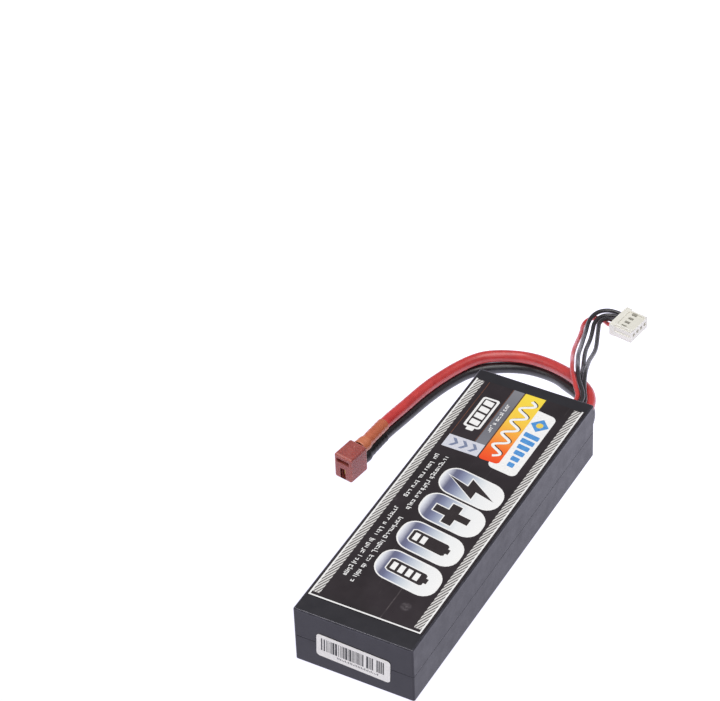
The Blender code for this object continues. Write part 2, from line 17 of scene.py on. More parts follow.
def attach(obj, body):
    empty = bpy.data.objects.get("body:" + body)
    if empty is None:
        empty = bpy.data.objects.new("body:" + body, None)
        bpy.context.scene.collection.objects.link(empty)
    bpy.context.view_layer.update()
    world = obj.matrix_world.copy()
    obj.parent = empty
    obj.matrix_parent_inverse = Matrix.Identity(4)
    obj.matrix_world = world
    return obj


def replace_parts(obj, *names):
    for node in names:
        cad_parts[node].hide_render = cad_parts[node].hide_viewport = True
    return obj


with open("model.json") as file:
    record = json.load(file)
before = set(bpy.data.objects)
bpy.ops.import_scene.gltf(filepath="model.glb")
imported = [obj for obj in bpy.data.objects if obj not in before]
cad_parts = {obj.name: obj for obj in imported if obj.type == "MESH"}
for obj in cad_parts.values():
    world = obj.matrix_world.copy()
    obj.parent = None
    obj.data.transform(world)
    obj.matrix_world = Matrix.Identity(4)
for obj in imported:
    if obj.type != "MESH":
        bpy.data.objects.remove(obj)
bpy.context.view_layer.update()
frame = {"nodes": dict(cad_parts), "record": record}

# Camera
CAMERA_AZIMUTH = math.radians(30.39)
CAMERA_ELEVATION = math.radians(40.14)
CAMERA_ROLL = math.radians(-2.60)
CAMERA_TARGET = Vector((-0.0483, 0.0264, 0.0556))
CAMERA_DISTANCE = 1.1701
CAMERA_LENS = 165.56

# Case
CASE_HALF_WIDTH = 0.023
CASE_HALF_LENGTH = 0.0695
CASE_HEIGHT = 0.024
CASE_EDGE = 0.0006
BASE_EDGE = 0.0003
CASE_CORNER = 0.0007
SIDE_WALL = 0.0016
FLOOR_WALL = 0.0012
CAVITY_EDGE = 0.0006
SEAM_HEIGHT = 0.0115
SEAM_GAP = 0.00014
SEAM_EDGE = 0.00010
LIP_OUTSIDE = 0.0010
LIP_INSIDE = 0.0015
LIP_TOP = 0.0127
REBATE_OUTSIDE = 0.0008
REBATE_TOP = 0.0130
EDGE_STEPS = 6
# The strip beside a rounded edge that keeps its flat face flat
HOLD = 0.00025

# Outlet, as x and z on the rear face
OUTLET_LOW = (0.0119, 0.0041)
OUTLET_HIGH = (0.0203, 0.0217)
OUTLET_MIDDLE = (OUTLET_LOW[0] + OUTLET_HIGH[0]) / 2, (OUTLET_LOW[1] + OUTLET_HIGH[1]) / 2
OUTLET_HALF = (OUTLET_HIGH[0] - OUTLET_LOW[0]) / 2, (OUTLET_HIGH[1] - OUTLET_LOW[1]) / 2
OUTLET_CORNER = 0.0016
OUTLET_GAP = 0.0003
FLANGE = 0.0006
FLANGE_THICKNESS = 0.0012
FLANGE_EDGE = 0.0004
BORE_CLEARANCE = 0.00012

# Top label
FILM_X = (-0.0222, 0.0222)
FILM_Y = (-0.0614, 0.0640)
FILM_BASE = 0.02409
FILM_TOP = 0.02418
FILM_CORNER = 0.0006
SOFT_EDGE = 0.00004
BORDER_X = (-0.0216, 0.0214)
BORDER_FRONT = FILM_Y[0] + 0.00015
BORDER_LINE = 0.0006
HATCH_WIDTH = 0.0028
HATCH_PITCH = 0.0024
HATCH_STROKE = 0.00112
HATCH_LEAN = 2.2
LABEL_SLANT = 0.15
INK_STEP = 0.00001
PRINT_POST = 0.00030
PRINT_GAP = 0.00034

# Sticker: its middle on the front face, and its slight turn there
STICKER_PLACE = (
    Matrix.Translation((-0.0001, -0.0696, 0.0105))
    @ Matrix.Rotation(math.radians(2.4), 4, "Y")
    @ Matrix.Rotation(math.radians(90), 4, "X")
)
STICKER_HALF = (0.0142, 0.0051)
STICKER_CORNER = 0.0014
STICKER_BASE = 0.00002
STICKER_TOP = 0.00012

# Leads
POWER_LEAD_DIAMETER = 0.0045
BALANCE_WIRE_DIAMETER = 0.0017
# Each lead's look, diameter and length
LEADS = {
    "main_lead_red": ("red_silicone", POWER_LEAD_DIAMETER, 0.1437),
    "main_lead_black": ("black_silicone", POWER_LEAD_DIAMETER, 0.1428),
    "balance_wire_1": ("red_silicone", BALANCE_WIRE_DIAMETER, 0.1008),
    "balance_wire_2": ("black_silicone", BALANCE_WIRE_DIAMETER, 0.1008),
    "balance_wire_3": ("black_silicone", BALANCE_WIRE_DIAMETER, 0.0939),
    "balance_wire_4": ("black_silicone", BALANCE_WIRE_DIAMETER, 0.0894),
}
# From inside the case, straight out of the rear face, to the plug
ROUTES = {
    "main_lead_red": (
        (0.0173, 0.0606, 0.0146), (0.0173, 0.0660, 0.0146), (0.0173, 0.0712, 0.0146),
        (0.0173, 0.0752, 0.0148), (0.0162, 0.0801, 0.0147), (0.0126, 0.0855, 0.0143),
        (0.0083, 0.0890, 0.0134), (0.0037, 0.0921, 0.0124), (-0.0008, 0.0945, 0.0114),
        (-0.0061, 0.0968, 0.0102), (-0.0111, 0.0984, 0.0091), (-0.0157, 0.0994, 0.0081),
        (-0.0201, 0.0995, 0.0074), (-0.0275, 0.0973, 0.0071), (-0.0338, 0.0933, 0.0071),
        (-0.0387, 0.0862, 0.00715), (-0.0424, 0.0772, 0.00715), (-0.0453, 0.0668, 0.0072),
        (-0.0472, 0.0555, 0.0074), (-0.0486, 0.0445, 0.0082), (-0.0494, 0.0365, 0.0084),
        (-0.04985, 0.0309, 0.0084),
    ),
    "main_lead_black": (
        (0.0173, 0.0606, 0.0074), (0.0173, 0.0660, 0.0074), (0.0173, 0.0712, 0.0074),
        (0.0171, 0.0762, 0.0076), (0.0156, 0.0811, 0.0079), (0.0119, 0.0859, 0.0082),
        (0.0063, 0.0896, 0.0080), (0.0012, 0.0928, 0.0066), (-0.0037, 0.0960, 0.0052),
        (-0.0100, 0.0986, 0.0036), (-0.0155, 0.0995, 0.0027), (-0.0203, 0.0990, 0.0024),
        (-0.0286, 0.0954, 0.00235), (-0.0359, 0.0897, 0.00235), (-0.0410, 0.0802, 0.00235),
        (-0.0447, 0.0676, 0.00235), (-0.0472, 0.0537, 0.0024), (-0.0488, 0.0435, 0.00275),
        (-0.0495, 0.0365, 0.0028), (-0.04985, 0.0309, 0.0028),
    ),
    "balance_wire_1": (
        (0.0141, 0.0606, 0.0204), (0.0141, 0.0660, 0.0204), (0.0141, 0.0712, 0.0204),
        (0.0134, 0.0756, 0.0201), (0.0112, 0.0789, 0.0203), (0.0083, 0.0830, 0.0203),
        (0.0050, 0.0884, 0.0192), (0.0019, 0.0949, 0.0171), (-0.0009, 0.1009, 0.0138),
        (-0.0036, 0.1078, 0.0110), (-0.0071, 0.1185, 0.0063), (-0.0102, 0.1283, 0.0028),
        (-0.0118, 0.1332, 0.0013), (-0.0116, 0.1368, 0.0010), (-0.0098, 0.1391, 0.00095),
        (-0.0073, 0.1396, 0.00095), (-0.0053, 0.1387, 0.00115), (-0.0039, 0.1375, 0.0016),
        (-0.0026, 0.1365, 0.0023), (-0.0014, 0.1360, 0.00285), (0.00096, 0.13556, 0.0029),
    ),
    "balance_wire_2": (
        (0.0162, 0.0606, 0.0202), (0.0162, 0.0660, 0.0202), (0.0162, 0.0712, 0.0202),
        (0.0154, 0.0759, 0.0201), (0.0129, 0.0799, 0.0202), (0.0100, 0.0840, 0.0197),
        (0.0068, 0.0895, 0.0193), (0.0038, 0.0957, 0.0169), (0.0008, 0.1025, 0.0144),
        (-0.0022, 0.1108, 0.0106), (-0.0056, 0.1205, 0.0066), (-0.0086, 0.1295, 0.0038),
        (-0.0100, 0.1350, 0.0031), (-0.0092, 0.1400, 0.0032), (-0.0058, 0.1432, 0.0030),
        (-0.0015, 0.1435, 0.0029), (0.0020, 0.14298, 0.0029),
    ),
    "balance_wire_3": (
        (0.0145, 0.0606, 0.0183), (0.0145, 0.0660, 0.0183), (0.0145, 0.0712, 0.0183),
        (0.0141, 0.0762, 0.0173), (0.0128, 0.0799, 0.0168), (0.0103, 0.0843, 0.0172),
        (0.0082, 0.0894, 0.0168), (0.0058, 0.0958, 0.0143), (0.0030, 0.1026, 0.0120),
        (-0.0006, 0.1118, 0.0089), (-0.0036, 0.1220, 0.0054), (-0.0064, 0.1302, 0.0035),
        (-0.0076, 0.1350, 0.0031), (-0.0064, 0.1392, 0.0031), (-0.0030, 0.1411, 0.00295),
        (0.00165, 0.14051, 0.0029),
    ),
    "balance_wire_4": (
        (0.0166, 0.0606, 0.01815), (0.0166, 0.0660, 0.01815), (0.0166, 0.0712, 0.01815),
        (0.0161, 0.0762, 0.0182), (0.0140, 0.0802, 0.0185), (0.0117, 0.0848, 0.0186),
        (0.0096, 0.0900, 0.0181), (0.0073, 0.0963, 0.0158), (0.0047, 0.1044, 0.0122),
        (0.0023, 0.1140, 0.0086), (-0.0014, 0.1236, 0.0062), (-0.0042, 0.1304, 0.0047),
        (-0.0053, 0.1346, 0.0042), (-0.0041, 0.1374, 0.0039), (-0.0018, 0.1385, 0.00315),
        (0.00131, 0.13803, 0.0029),
    ),
}
FINE_SAMPLES = 2000
# Power plug: the middle of its rear face's lower edge, and its turn from -Y
POWER_PLUG_PLACE = (
    Matrix.Translation((-0.0506, 0.0264, 0.0)) @ Matrix.Rotation(math.radians(-9.4), 4, "Z")
)
POWER_PLUG_WIDTH = 0.0078
POWER_PLUG_LENGTH = 0.0097
POWER_PLUG_HEIGHT = 0.0110
POWER_PLUG_EDGE = 0.0008
# Each contact's slot: the height of its middle, its width and its own height
POWER_SLOTS = {
    "power_contact_positive": (0.0084, 0.0054, 0.0015),
    "power_contact_negative": (0.0029, 0.0018, 0.0044),
}
SLEEVE_LENGTH = 0.0155
SLEEVE_GAP = 0.0003
SLEEVE_RADIUS = 0.00243
# How far the joint under the sleeve reaches and how fast it tapers, and how much it adds
SLEEVE_JOINT = 0.0046
SLEEVE_TAPER = 0.0011
SLEEVE_SWELL = (0.00050, 0.00018)
SLEEVE_LIP = 0.0003
SLEEVE_SIDES = 40

# Balance plug: the middle of its rear face, and its turn from +X
BALANCE_PLUG_PLACE = (
    Matrix.Translation((-0.0005, 0.13955, 0.0029)) @ Matrix.Rotation(math.radians(-8), 4, "Z")
)
BALANCE_PITCH = 0.0025
BALANCE_PLUG_LENGTH = 0.0098
BALANCE_PLUG_WIDTH = 0.0124
BALANCE_PLUG_THICKNESS = 0.00575

# Turns of a flat outline and the height over it: onto a wall, and along X
TO_WALL = Matrix(((1, 0, 0), (0, 0, 1), (0, 1, 0))).to_4x4()
ALONG_X = Matrix(((0, 0, 1), (1, 0, 0), (0, 1, 0))).to_4x4()

LOOKS = {}


def add_object(name, data):
    """An object of this name in the scene."""
    made = bpy.data.objects.new(name, data)
    bpy.context.scene.collection.objects.link(made)
    return made


# ---------------------------------------------------------------- camera


def make_camera():
    """The camera, which looks at its target from the azimuth and elevation and is then rolled."""
    side, up = math.sin(CAMERA_AZIMUTH), math.sin(CAMERA_ELEVATION)
    flat = math.cos(CAMERA_ELEVATION)
    back = Vector((side * flat, -math.cos(CAMERA_AZIMUTH) * flat, up))
    right = Vector((0, 0, 1)).cross(back).normalized()
    above = back.cross(right)
    turned = math.cos(CAMERA_ROLL) * right + math.sin(CAMERA_ROLL) * above
    raised = back.cross(turned)
    data = bpy.data.cameras.new("camera")
    data.lens = CAMERA_LENS
    data.clip_start, data.clip_end = 0.05, 50
    camera = add_object("camera", data)
    camera.matrix_world = Matrix.Translation(CAMERA_TARGET + CAMERA_DISTANCE * back) @ (
        Matrix((turned, raised, back)).transposed().to_4x4()
    )
    bpy.context.scene.camera = camera


# ---------------------------------------------------------------- materials


def srgb(colour):
    """A colour given as the eye reads it, 0 to 255, in the shader's own scale."""
    parts = []
    for level in (part / 255 for part in colour):
        parts.append(level / 12.92 if level <= 0.04045 else ((level + 0.055) / 1.055) ** 2.4)
    return (*parts, 1.0)


class Look:
    """A node material in the making: one Principled shader and the nodes that feed it."""

    def __init__(self, name, **constants):
        self.name = name
        self.material = bpy.data.materials.new(name)
        self.material.use_nodes = True
        self.tree = self.material.node_tree
        self.shader = self.tree.nodes["Principled BSDF"]
        self.place = self.node("TexCoord", "Object")
        self.feed(self.shader, {name.replace("_", " "): value for name, value in constants.items()})

    def feed(self, node, inputs):
        """Links or sets the node's sockets."""
        for socket, value in inputs.items():
            if isinstance(value, bpy.types.NodeSocket):
                self.tree.links.new(value, node.inputs[socket])
            else:
                node.inputs[socket].default_value = value

    def node(self, kind, output, inputs=None, **settings):
        """One output of a new node."""
        made = self.tree.nodes.new("ShaderNode" + kind)
        for name, value in settings.items():
            setattr(made, name, value)
        self.feed(made, inputs or {})
        return made.outputs[output]

    def noise(self, scale, detail=2.0, rough=0.5, stretch=None, distortion=0.0):
        place = self.place
        if stretch is not None:
            place = self.node("Mapping", "Vector", {"Vector": place, "Scale": stretch})
        inputs = {"Vector": place, "Scale": scale, "Detail": detail, "Roughness": rough}
        return self.node("TexNoise", "Fac", {**inputs, "Distortion": distortion})

    def cells(self, scale, feature="F1"):
        inputs = {"Vector": self.place, "Scale": scale}
        return self.node("TexVoronoi", "Distance", inputs, feature=feature)

    def axis(self, name):
        return self.node("SeparateXYZ", name, {"Vector": self.place})

    def wear(self):
        """The wear weight that a mesh's vertices hold. The moulded looks also lay a painted edge
        highlight by it.
        """
        return self.node("Attribute", "Fac", attribute_name="wear")

    def maths(self, operation, first, second=0.0):
        return self.node("Math", "Value", {0: first, 1: second}, operation=operation)

    def times(self, first, second):
        return self.maths("MULTIPLY", first, second)

    def spread(self, value, low, high, to_low=0.0, to_high=1.0):
        """The value's range, made to run between two others."""
        inputs = {"Value": value, "From Min": low, "From Max": high}
        return self.node("MapRange", "Result", {**inputs, "To Min": to_low, "To Max": to_high})

    def uneven(self, value, low, high):
        """A noise made to run between two values."""
        return self.spread(value, 0.3, 0.7, low, high)

    def ramp(self, value, *stops):
        colour = self.node("ValToRGB", "Color", {"Fac": value})
        steps = colour.node.color_ramp.elements
        while len(steps) < len(stops):
            steps.new(0.5)
        for step, (position, shade) in zip(steps, stops):
            step.position = position
            step.color = srgb(shade)
        return colour

    def tones(self, value, dark, light, start=0.3):
        """Dark to light, over the middle of a noise's range."""
        return self.ramp(value, (start, dark), (1 - start, light))

    def mix(self, factor, under, over):
        inputs = {0: factor, 6: under, 7: srgb(over)}
        return self.node("Mix", 2, inputs, data_type="RGBA")

    def finish(self, colour, roughness, bumps=()):
        """Keeps the look under its name. Bumps are (height, depth in metres), coarsest first."""
        relief = {}
        for height, depth in bumps:
            inputs = {"Distance": depth, "Height": height, **relief}
            relief = {"Normal": self.node("Bump", "Normal", inputs)}
        self.feed(self.shader, {"Base Color": colour, "Roughness": roughness, **relief})
        LOOKS[self.name] = self.material


def moulded(
    name, dark, light, worn, roughness, grain=6500, depth=0.000006, polish=0.0, **constants
):
    """Moulded plastic: a fine grain, slightly uneven in tone, and lighter along its rounded edges,
    partly as scuffs and partly as a painted highlight.
    """
    look = Look(name, **constants)
    patches = look.noise(70, 3)
    wear = look.wear()
    # The edge mix never drops below a quarter: an even painted highlight along every weighted edge,
    # with patchy scuffs over it
    scuffs_and_edge_highlight = look.spread(look.noise(420, 5, 0.7), 0.42, 0.72, 0.25, 0.75)
    colour = look.mix(look.times(wear, scuffs_and_edge_highlight), look.tones(patches, dark, light, 0.35), worn)
    shine = look.uneven(look.noise(240, 4, 0.6), roughness - 0.05, roughness + 0.05)
    shine = look.maths("SUBTRACT", shine, look.times(wear, polish))
    look.finish(colour, shine, ((patches, 0.00002), (look.noise(grain, 2), depth)))


def rubbery(name, dark, light, roughness, dust=0.10, **constants):
    """Silicone lead: soft shine, a little dust, and a surface that is never quite even."""
    look = Look(name, **constants)
    specks = look.spread(look.noise(2600, 3, 0.7), 0.62, 0.74, 0.0, dust)
    colour = look.mix(specks, look.tones(look.noise(260, 3), dark, light), (170, 165, 160))
    shine = look.uneven(look.noise(700, 3), roughness - 0.06, roughness + 0.08)
    look.finish(colour, shine, ((look.noise(420, 2), 0.00003), (look.noise(5200, 2), 0.000005)))


def glossed(look, colour, roughness):
    """Finishes a look with the film's gloss over ink of this colour."""
    shine = look.uneven(look.noise(300, 3), roughness - 0.05, roughness + 0.06)
    look.finish(colour, shine, ((look.noise(900, 3), 0.000006),))


def printed(name, dark, light, roughness=0.34):
    """Ink on film, faintly mottled."""
    look = Look(name)
    glossed(look, look.tones(look.noise(1400, 4, 0.6), dark, light, 0.35), roughness)


def banded(name, axis, low, high, stops):
    """Ink whose colour runs through the stops from low to high along an axis."""
    look = Look(name)
    place = look.spread(look.axis(axis), low, high)
    wander = look.spread(look.noise(1300, 3), 0.0, 1.0, -0.012, 0.012)
    glossed(look, look.ramp(look.maths("ADD", place, wander), *stops), 0.32)


def metal(name, dark, light, roughness, stretch=(1, 1, 1)):
    """Bare or plated metal, brushed along one axis where the stretch says so."""
    look = Look(name, Metallic=1.0)
    streaks = look.noise(2200, 4, 0.65, stretch)
    shine = look.uneven(streaks, roughness - 0.07, roughness + 0.10)
    look.finish(look.tones(streaks, dark, light), shine, ((streaks, 0.000004),))


def film_material():
    """The label's dark ground under clear film, with rubbed patches, scratches and a crease."""
    look = Look("label_film")
    patches = look.noise(45, 3)
    colour = look.tones(patches, (33, 26, 30), (43, 35, 40), 0.35)
    scratches = look.spread(look.noise(900, 3, 0.6, (1.0, 0.04, 1.0)), 0.70, 0.78)
    colour = look.mix(look.times(scratches, 0.18), colour, (150, 140, 140))
    rubbed = look.spread(look.noise(120, 4, 0.6), 0.66, 0.80)
    colour = look.mix(look.times(rubbed, 0.16), colour, (150, 140, 145))
    wander = look.spread(look.noise(110, 2), 0.0, 1.0, -0.0002, 0.0002)
    offset = look.maths("SUBTRACT", look.maths("ADD", look.axis("X"), wander), 0.0058)
    crease = look.spread(look.maths("ABSOLUTE", offset), 0.00010, 0.00026, 1.0, 0.0)
    dashes = look.spread(look.noise(420, 3, 0.6), 0.40, 0.60, 0.25, 1.0)
    dashes = look.times(look.spread(look.axis("Y"), -0.046, -0.036, 0.26, 0.06), dashes)
    colour = look.mix(look.times(crease, dashes), colour, (140, 130, 132))
    squares = []
    for axis, middle in (("X", 0.0110), ("Y", -0.0520)):
        off = look.maths("ABSOLUTE", look.maths("SUBTRACT", look.axis(axis), middle))
        squares.append(look.maths("POWER", off, 2.0))
    smudge = look.spread(look.maths("ADD", *squares), 0.0, 0.0022**2, 0.34, 0.0)
    smudge = look.times(smudge, look.spread(look.noise(700, 4), 0.36, 0.66))
    colour = look.mix(smudge, colour, (150, 142, 146))
    shine = look.uneven(look.noise(200, 4, 0.6), 0.26, 0.38)
    bumps = (patches, 0.00002), (crease, 0.00001), (look.noise(1100, 3), 0.000003)
    look.finish(colour, shine, bumps)


def nylon_material():
    """The blade plug's reddish brown nylon, which lets a little light in."""
    look = Look("plug_nylon", Subsurface_Weight=0.35, Subsurface_Scale=0.0015)
    look.shader.inputs["Subsurface Radius"].default_value = (1.0, 0.35, 0.25)
    flow = look.noise(330, 4, 0.6, distortion=1.2)
    colour = look.tones(flow, (146, 70, 66), (164, 84, 78))
    colour = look.mix(look.times(look.wear(), 0.35), colour, (190, 120, 108))
    shine = look.uneven(look.noise(900, 3), 0.34, 0.46)
    look.finish(colour, shine, ((flow, 0.00003), (look.noise(6000, 2), 0.000006)))


def shrunk(name, dark, light, worn, **constants):
    """Shrunk tube: thin, finely wrinkled, and lighter where it is pulled tight."""
    look = Look(name, **constants)
    colour = look.tones(look.noise(500, 3, 0.6), dark, light)
    colour = look.mix(look.wear(), colour, worn)
    shine = look.uneven(look.noise(1200, 3), 0.30, 0.44)
    bumps = (look.noise(700, 3, 0.6), 0.00005), (look.noise(4200, 2), 0.000008)
    look.finish(colour, shine, bumps)


def foil_material():
    """Pouch foil, softly crinkled."""
    look = Look("pouch_foil", Metallic=1.0)
    folds = look.cells(320, "SMOOTH_F1")
    fine = look.noise(1800, 4, 0.6)
    colour = look.tones(fine, (186, 188, 192), (214, 215, 218))
    look.finish(colour, look.uneven(fine, 0.24, 0.40), ((folds, 0.00006), (fine, 0.00001)))


def foam_material():
    """Closed foam, dark in its pores."""
    look = Look("foam")
    pores = look.cells(1900)
    colour = look.ramp(pores, (0.1, (30, 30, 31)), (0.7, (70, 70, 72)))
    look.finish(colour, look.spread(pores, 0.0, 1.0, 0.85, 0.98), ((pores, 0.00012),))


def board_material():
    """Circuit laminate: green resist over a faint glass weave."""
    look = Look("board")
    weave = look.node("TexChecker", "Fac", {"Vector": look.place, "Scale": 1400.0})
    tone = look.noise(500, 3)
    colour = look.tones(tone, (18, 84, 48), (28, 104, 60))
    look.finish(colour, look.uneven(tone, 0.32, 0.44), ((weave, 0.000006),))


def tape_material():
    """Amber tape, rippled across."""
    look = Look("tape", Coat_Weight=0.4, Coat_Roughness=0.15)
    ripple = look.noise(300, 3, 0.6, (1.0, 0.2, 1.0))
    colour = look.tones(ripple, (178, 112, 32), (206, 140, 50))
    look.finish(colour, look.uneven(ripple, 0.2, 0.35), ((ripple, 0.00003),))


# Dark and light tone, then the roughness where it isn't the film's
PRINTS = {
    "label_paper": ((228, 225, 219), (240, 237, 231), 0.55),
    "ink_white": ((228, 227, 226), (242, 241, 240)),
    "ink_silver": ((208, 205, 202), (222, 219, 216)),
    "ink_hatch": ((88, 85, 85), (104, 101, 100)),
    "ink_dark": ((38, 31, 33), (46, 38, 41)),
    "ink_pale": ((196, 197, 208), (212, 212, 220)),
    "ink_slate": ((112, 122, 150), (128, 136, 162)),
    "ink_blue": ((60, 128, 196), (92, 156, 214)),
    "ink_yellow": ((222, 196, 84), (234, 210, 100)),
    "ink_rust": ((118, 72, 48), (140, 86, 58)),
    "ink_black": ((44, 43, 45), (66, 65, 67), 0.5),
}
BLUES = (
    (0.00, (232, 232, 234)), (0.05, (220, 222, 228)), (0.10, (178, 179, 192)),
    (0.16, (100, 102, 128)), (0.22, (102, 105, 134)), (0.30, (128, 134, 162)),
    (0.39, (160, 167, 186)), (0.48, (188, 195, 206)), (0.57, (208, 213, 218)),
    (0.68, (228, 229, 230)), (1.00, (236, 235, 234)),
)
WARMS = (
    (0.00, (232, 70, 26)), (0.16, (236, 98, 34)), (0.34, (240, 148, 58)),
    (0.60, (240, 196, 68)), (1.00, (240, 214, 66)),
)
GREYS = ((0.0, (120, 120, 128)), (0.5, (104, 104, 112)), (1.0, (126, 126, 132)))
BANDS = {
    "ink_gauge": ("X", -0.0090, 0.0160, BLUES),
    "ink_warm": ("Y", 0.0255, 0.0640, WARMS),
    "ink_grey": ("Y", 0.0330, 0.0640, GREYS),
}
# Dark and light tone, the roughness, and the noise's stretch
METALS = {
    "aluminium_tab": ((206, 206, 210), (230, 230, 232), 0.34, (1, 0.1, 1)),
    "nickel_tab": ((188, 184, 174), (212, 208, 198), 0.34, (1, 0.1, 1)),
    "gold_contact": ((222, 176, 92), (242, 204, 122), 0.24),
    "tin_contact": ((198, 198, 196), (222, 222, 220), 0.28),
}


def make_materials():
    for kind, table in ((printed, PRINTS), (banded, BANDS), (metal, METALS)):
        for name, values in table.items():
            kind(name, *values)
    film_material()
    nylon_material()
    foil_material()
    foam_material()
    board_material()
    tape_material()
    # The case's worn colour lightens its rounded edges and seam, partly as scuffs and partly as a
    # painted highlight
    moulded(
        "case_plastic", (30, 29, 33), (35, 34, 39), (74, 73, 82), 0.40, polish=0.17,
        Specular_Tint=(0.95, 0.92, 1.0, 1.0),
    )
    moulded("rubber", (22, 22, 23), (30, 30, 31), (64, 64, 66), 0.62, 3800, 0.00001)
    moulded("ivory_nylon", (216, 213, 202), (226, 223, 213), (236, 234, 228), 0.42, 2600, 0.000003)
    rubbery(
        "red_silicone", (184, 44, 44), (202, 56, 54), 0.36,
        IOR=1.62, Coat_Weight=0.25, Coat_Roughness=0.30,
    )
    rubbery(
        "black_silicone", (28, 26, 30), (40, 37, 42), 0.34, 0.14,
        IOR=1.6, Coat_Weight=0.2, Coat_Roughness=0.3,
    )
    shrunk(
        "red_shrink", (178, 88, 58), (196, 106, 74), (200, 122, 84),
        Coat_Weight=0.3, Coat_Roughness=0.25,
    )
    shrunk("black_shrink", (20, 20, 22), (30, 30, 32), (48, 48, 52))


# ---------------------------------------------------------------- mesh making


def mesh_object(name, shape, place=None):
    """The bmesh as an object, moved to its place and with its faces turned out."""
    bmesh.ops.recalc_face_normals(shape, faces=shape.faces)
    if place is not None:
        bmesh.ops.transform(shape, matrix=place, verts=shape.verts)
    mesh = bpy.data.meshes.new(name)
    shape.to_mesh(mesh)
    shape.free()
    return add_object(name, mesh)


def add_piece(name, shape, slot, place=None, sharp=35, inks=None):
    """The bmesh as a piece of the pack that rides with it, its round faces smooth."""
    piece = mesh_object(name, shape, place)
    piece.data.shade_smooth()
    piece.data.set_sharp_from_angle(angle=math.radians(sharp))
    for look in inks or [slot]:
        piece.data.materials.append(LOOKS[look])
    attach(piece, "root")
    return piece


def carve(piece, cutters, additions=()):
    """Joins the additions to the piece, takes the cutters out of it, and removes them all."""
    tools = [("UNION", tool) for tool in additions] + [("DIFFERENCE", tool) for tool in cutters]
    for operation, tool in tools:
        change = piece.modifiers.new("cut", "BOOLEAN")
        change.operation = operation
        change.solver = "EXACT"
        change.object = tool
    graph = bpy.context.evaluated_depsgraph_get()
    mesh = bpy.data.meshes.new_from_object(piece.evaluated_get(graph), depsgraph=graph)
    piece.modifiers.clear()
    before = piece.data
    piece.data = mesh
    bpy.data.meshes.remove(before)
    mesh.name = piece.name
    mesh.set_sharp_from_angle(angle=math.radians(35))
    for _, tool in tools:
        bpy.data.objects.remove(tool, do_unlink=True)


def keep_flat(piece):
    """Large flat faces keep their own normals beside small rounded ones."""
    weigh = piece.modifiers.new("weighted_normals", "WEIGHTED_NORMAL")
    weigh.keep_sharp = True
    weigh.weight = 100


def skin(shape, loops, wear=None, closed=False):
    """Faces from each loop to the next. The loops have as many points, and wear one value each."""
    layer = shape.verts.layers.float.get("wear") or shape.verts.layers.float.new("wear")
    rings = []
    for index, loop in enumerate(loops):
        ring = [shape.verts.new(point) for point in loop]
        for vertex in ring:
            vertex[layer] = wear[index] if wear else 0.0
        rings.append(ring)
    for lower, upper in zip(rings, rings[1:] + (rings[:1] if closed else [])):
        for i in range(len(lower)):
            j = (i + 1) % len(lower)
            shape.faces.new((lower[i], lower[j], upper[j], upper[i]))
    return rings


def loft(loops, wear=None):
    """A closed body through the loops."""
    shape = bmesh.new()
    rings = skin(shape, loops, wear)
    shape.faces.new(rings[0][::-1])
    shape.faces.new(rings[-1])
    return shape


def rounded_outline(half_x, half_y, radius, steps=EDGE_STEPS):
    """Points round a rectangle with rounded corners, anticlockwise."""
    points = []
    for corner, (across, along) in enumerate(((1, 1), (-1, 1), (-1, -1), (1, -1))):
        x, y = across * (half_x - radius), along * (half_y - radius)
        for step in range(steps + 1):
            angle = (corner + step / steps) * math.pi / 2
            points.append((x + radius * math.cos(angle), y + radius * math.sin(angle)))
    return points


def prism(shape, outline, low, high, material=0):
    """A closed upright body over a flat outline."""
    base = [shape.verts.new((x, y, low)) for x, y in outline]
    top = [shape.verts.new((x, y, high)) for x, y in outline]
    faces = [shape.faces.new(base[::-1]), shape.faces.new(top)]
    for i in range(len(outline)):
        j = (i + 1) % len(outline)
        faces.append(shape.faces.new((base[i], base[j], top[j], top[i])))
    for face in faces:
        face.material_index = material


def prism_cutter(name, outline, low, high, place):
    """A prism for a Boolean."""
    shape = bmesh.new()
    prism(shape, outline, low, high)
    return mesh_object(name, shape, place)


def quarter(edge, steps):
    """(inset, rise) round a rounded edge, from the flat it leaves to the flat it meets."""
    for step in range(steps + 1):
        angle = step / steps * math.pi / 2
        yield edge * (1 - math.sin(angle)), edge * (1 - math.cos(angle))


def rounded_box(half, edge, corner, steps=4):
    """A box centred on the origin whose edges are all rounded, and weighted for wear, which the
    moulded looks also use for a painted edge highlight.
    """
    loops, worn = [], []
    hold = edge * 0.3
    rows = [(inset, rise, 1.0) for inset, rise in quarter(edge, steps)]
    rows = [(edge + hold, 0.0, 0.0), *rows, (0.0, edge + hold, 0.0)]
    for side, ordered in ((-1, rows), (1, rows[::-1])):
        for inset, rise, wear in ordered:
            radius = max(corner - inset, corner * 0.15)
            outline = rounded_outline(half[0] - inset, half[1] - inset, radius)
            loops.append([(x, y, side * (half[2] - rise)) for x, y in outline])
            worn.append(wear)
    return loft(loops, worn)


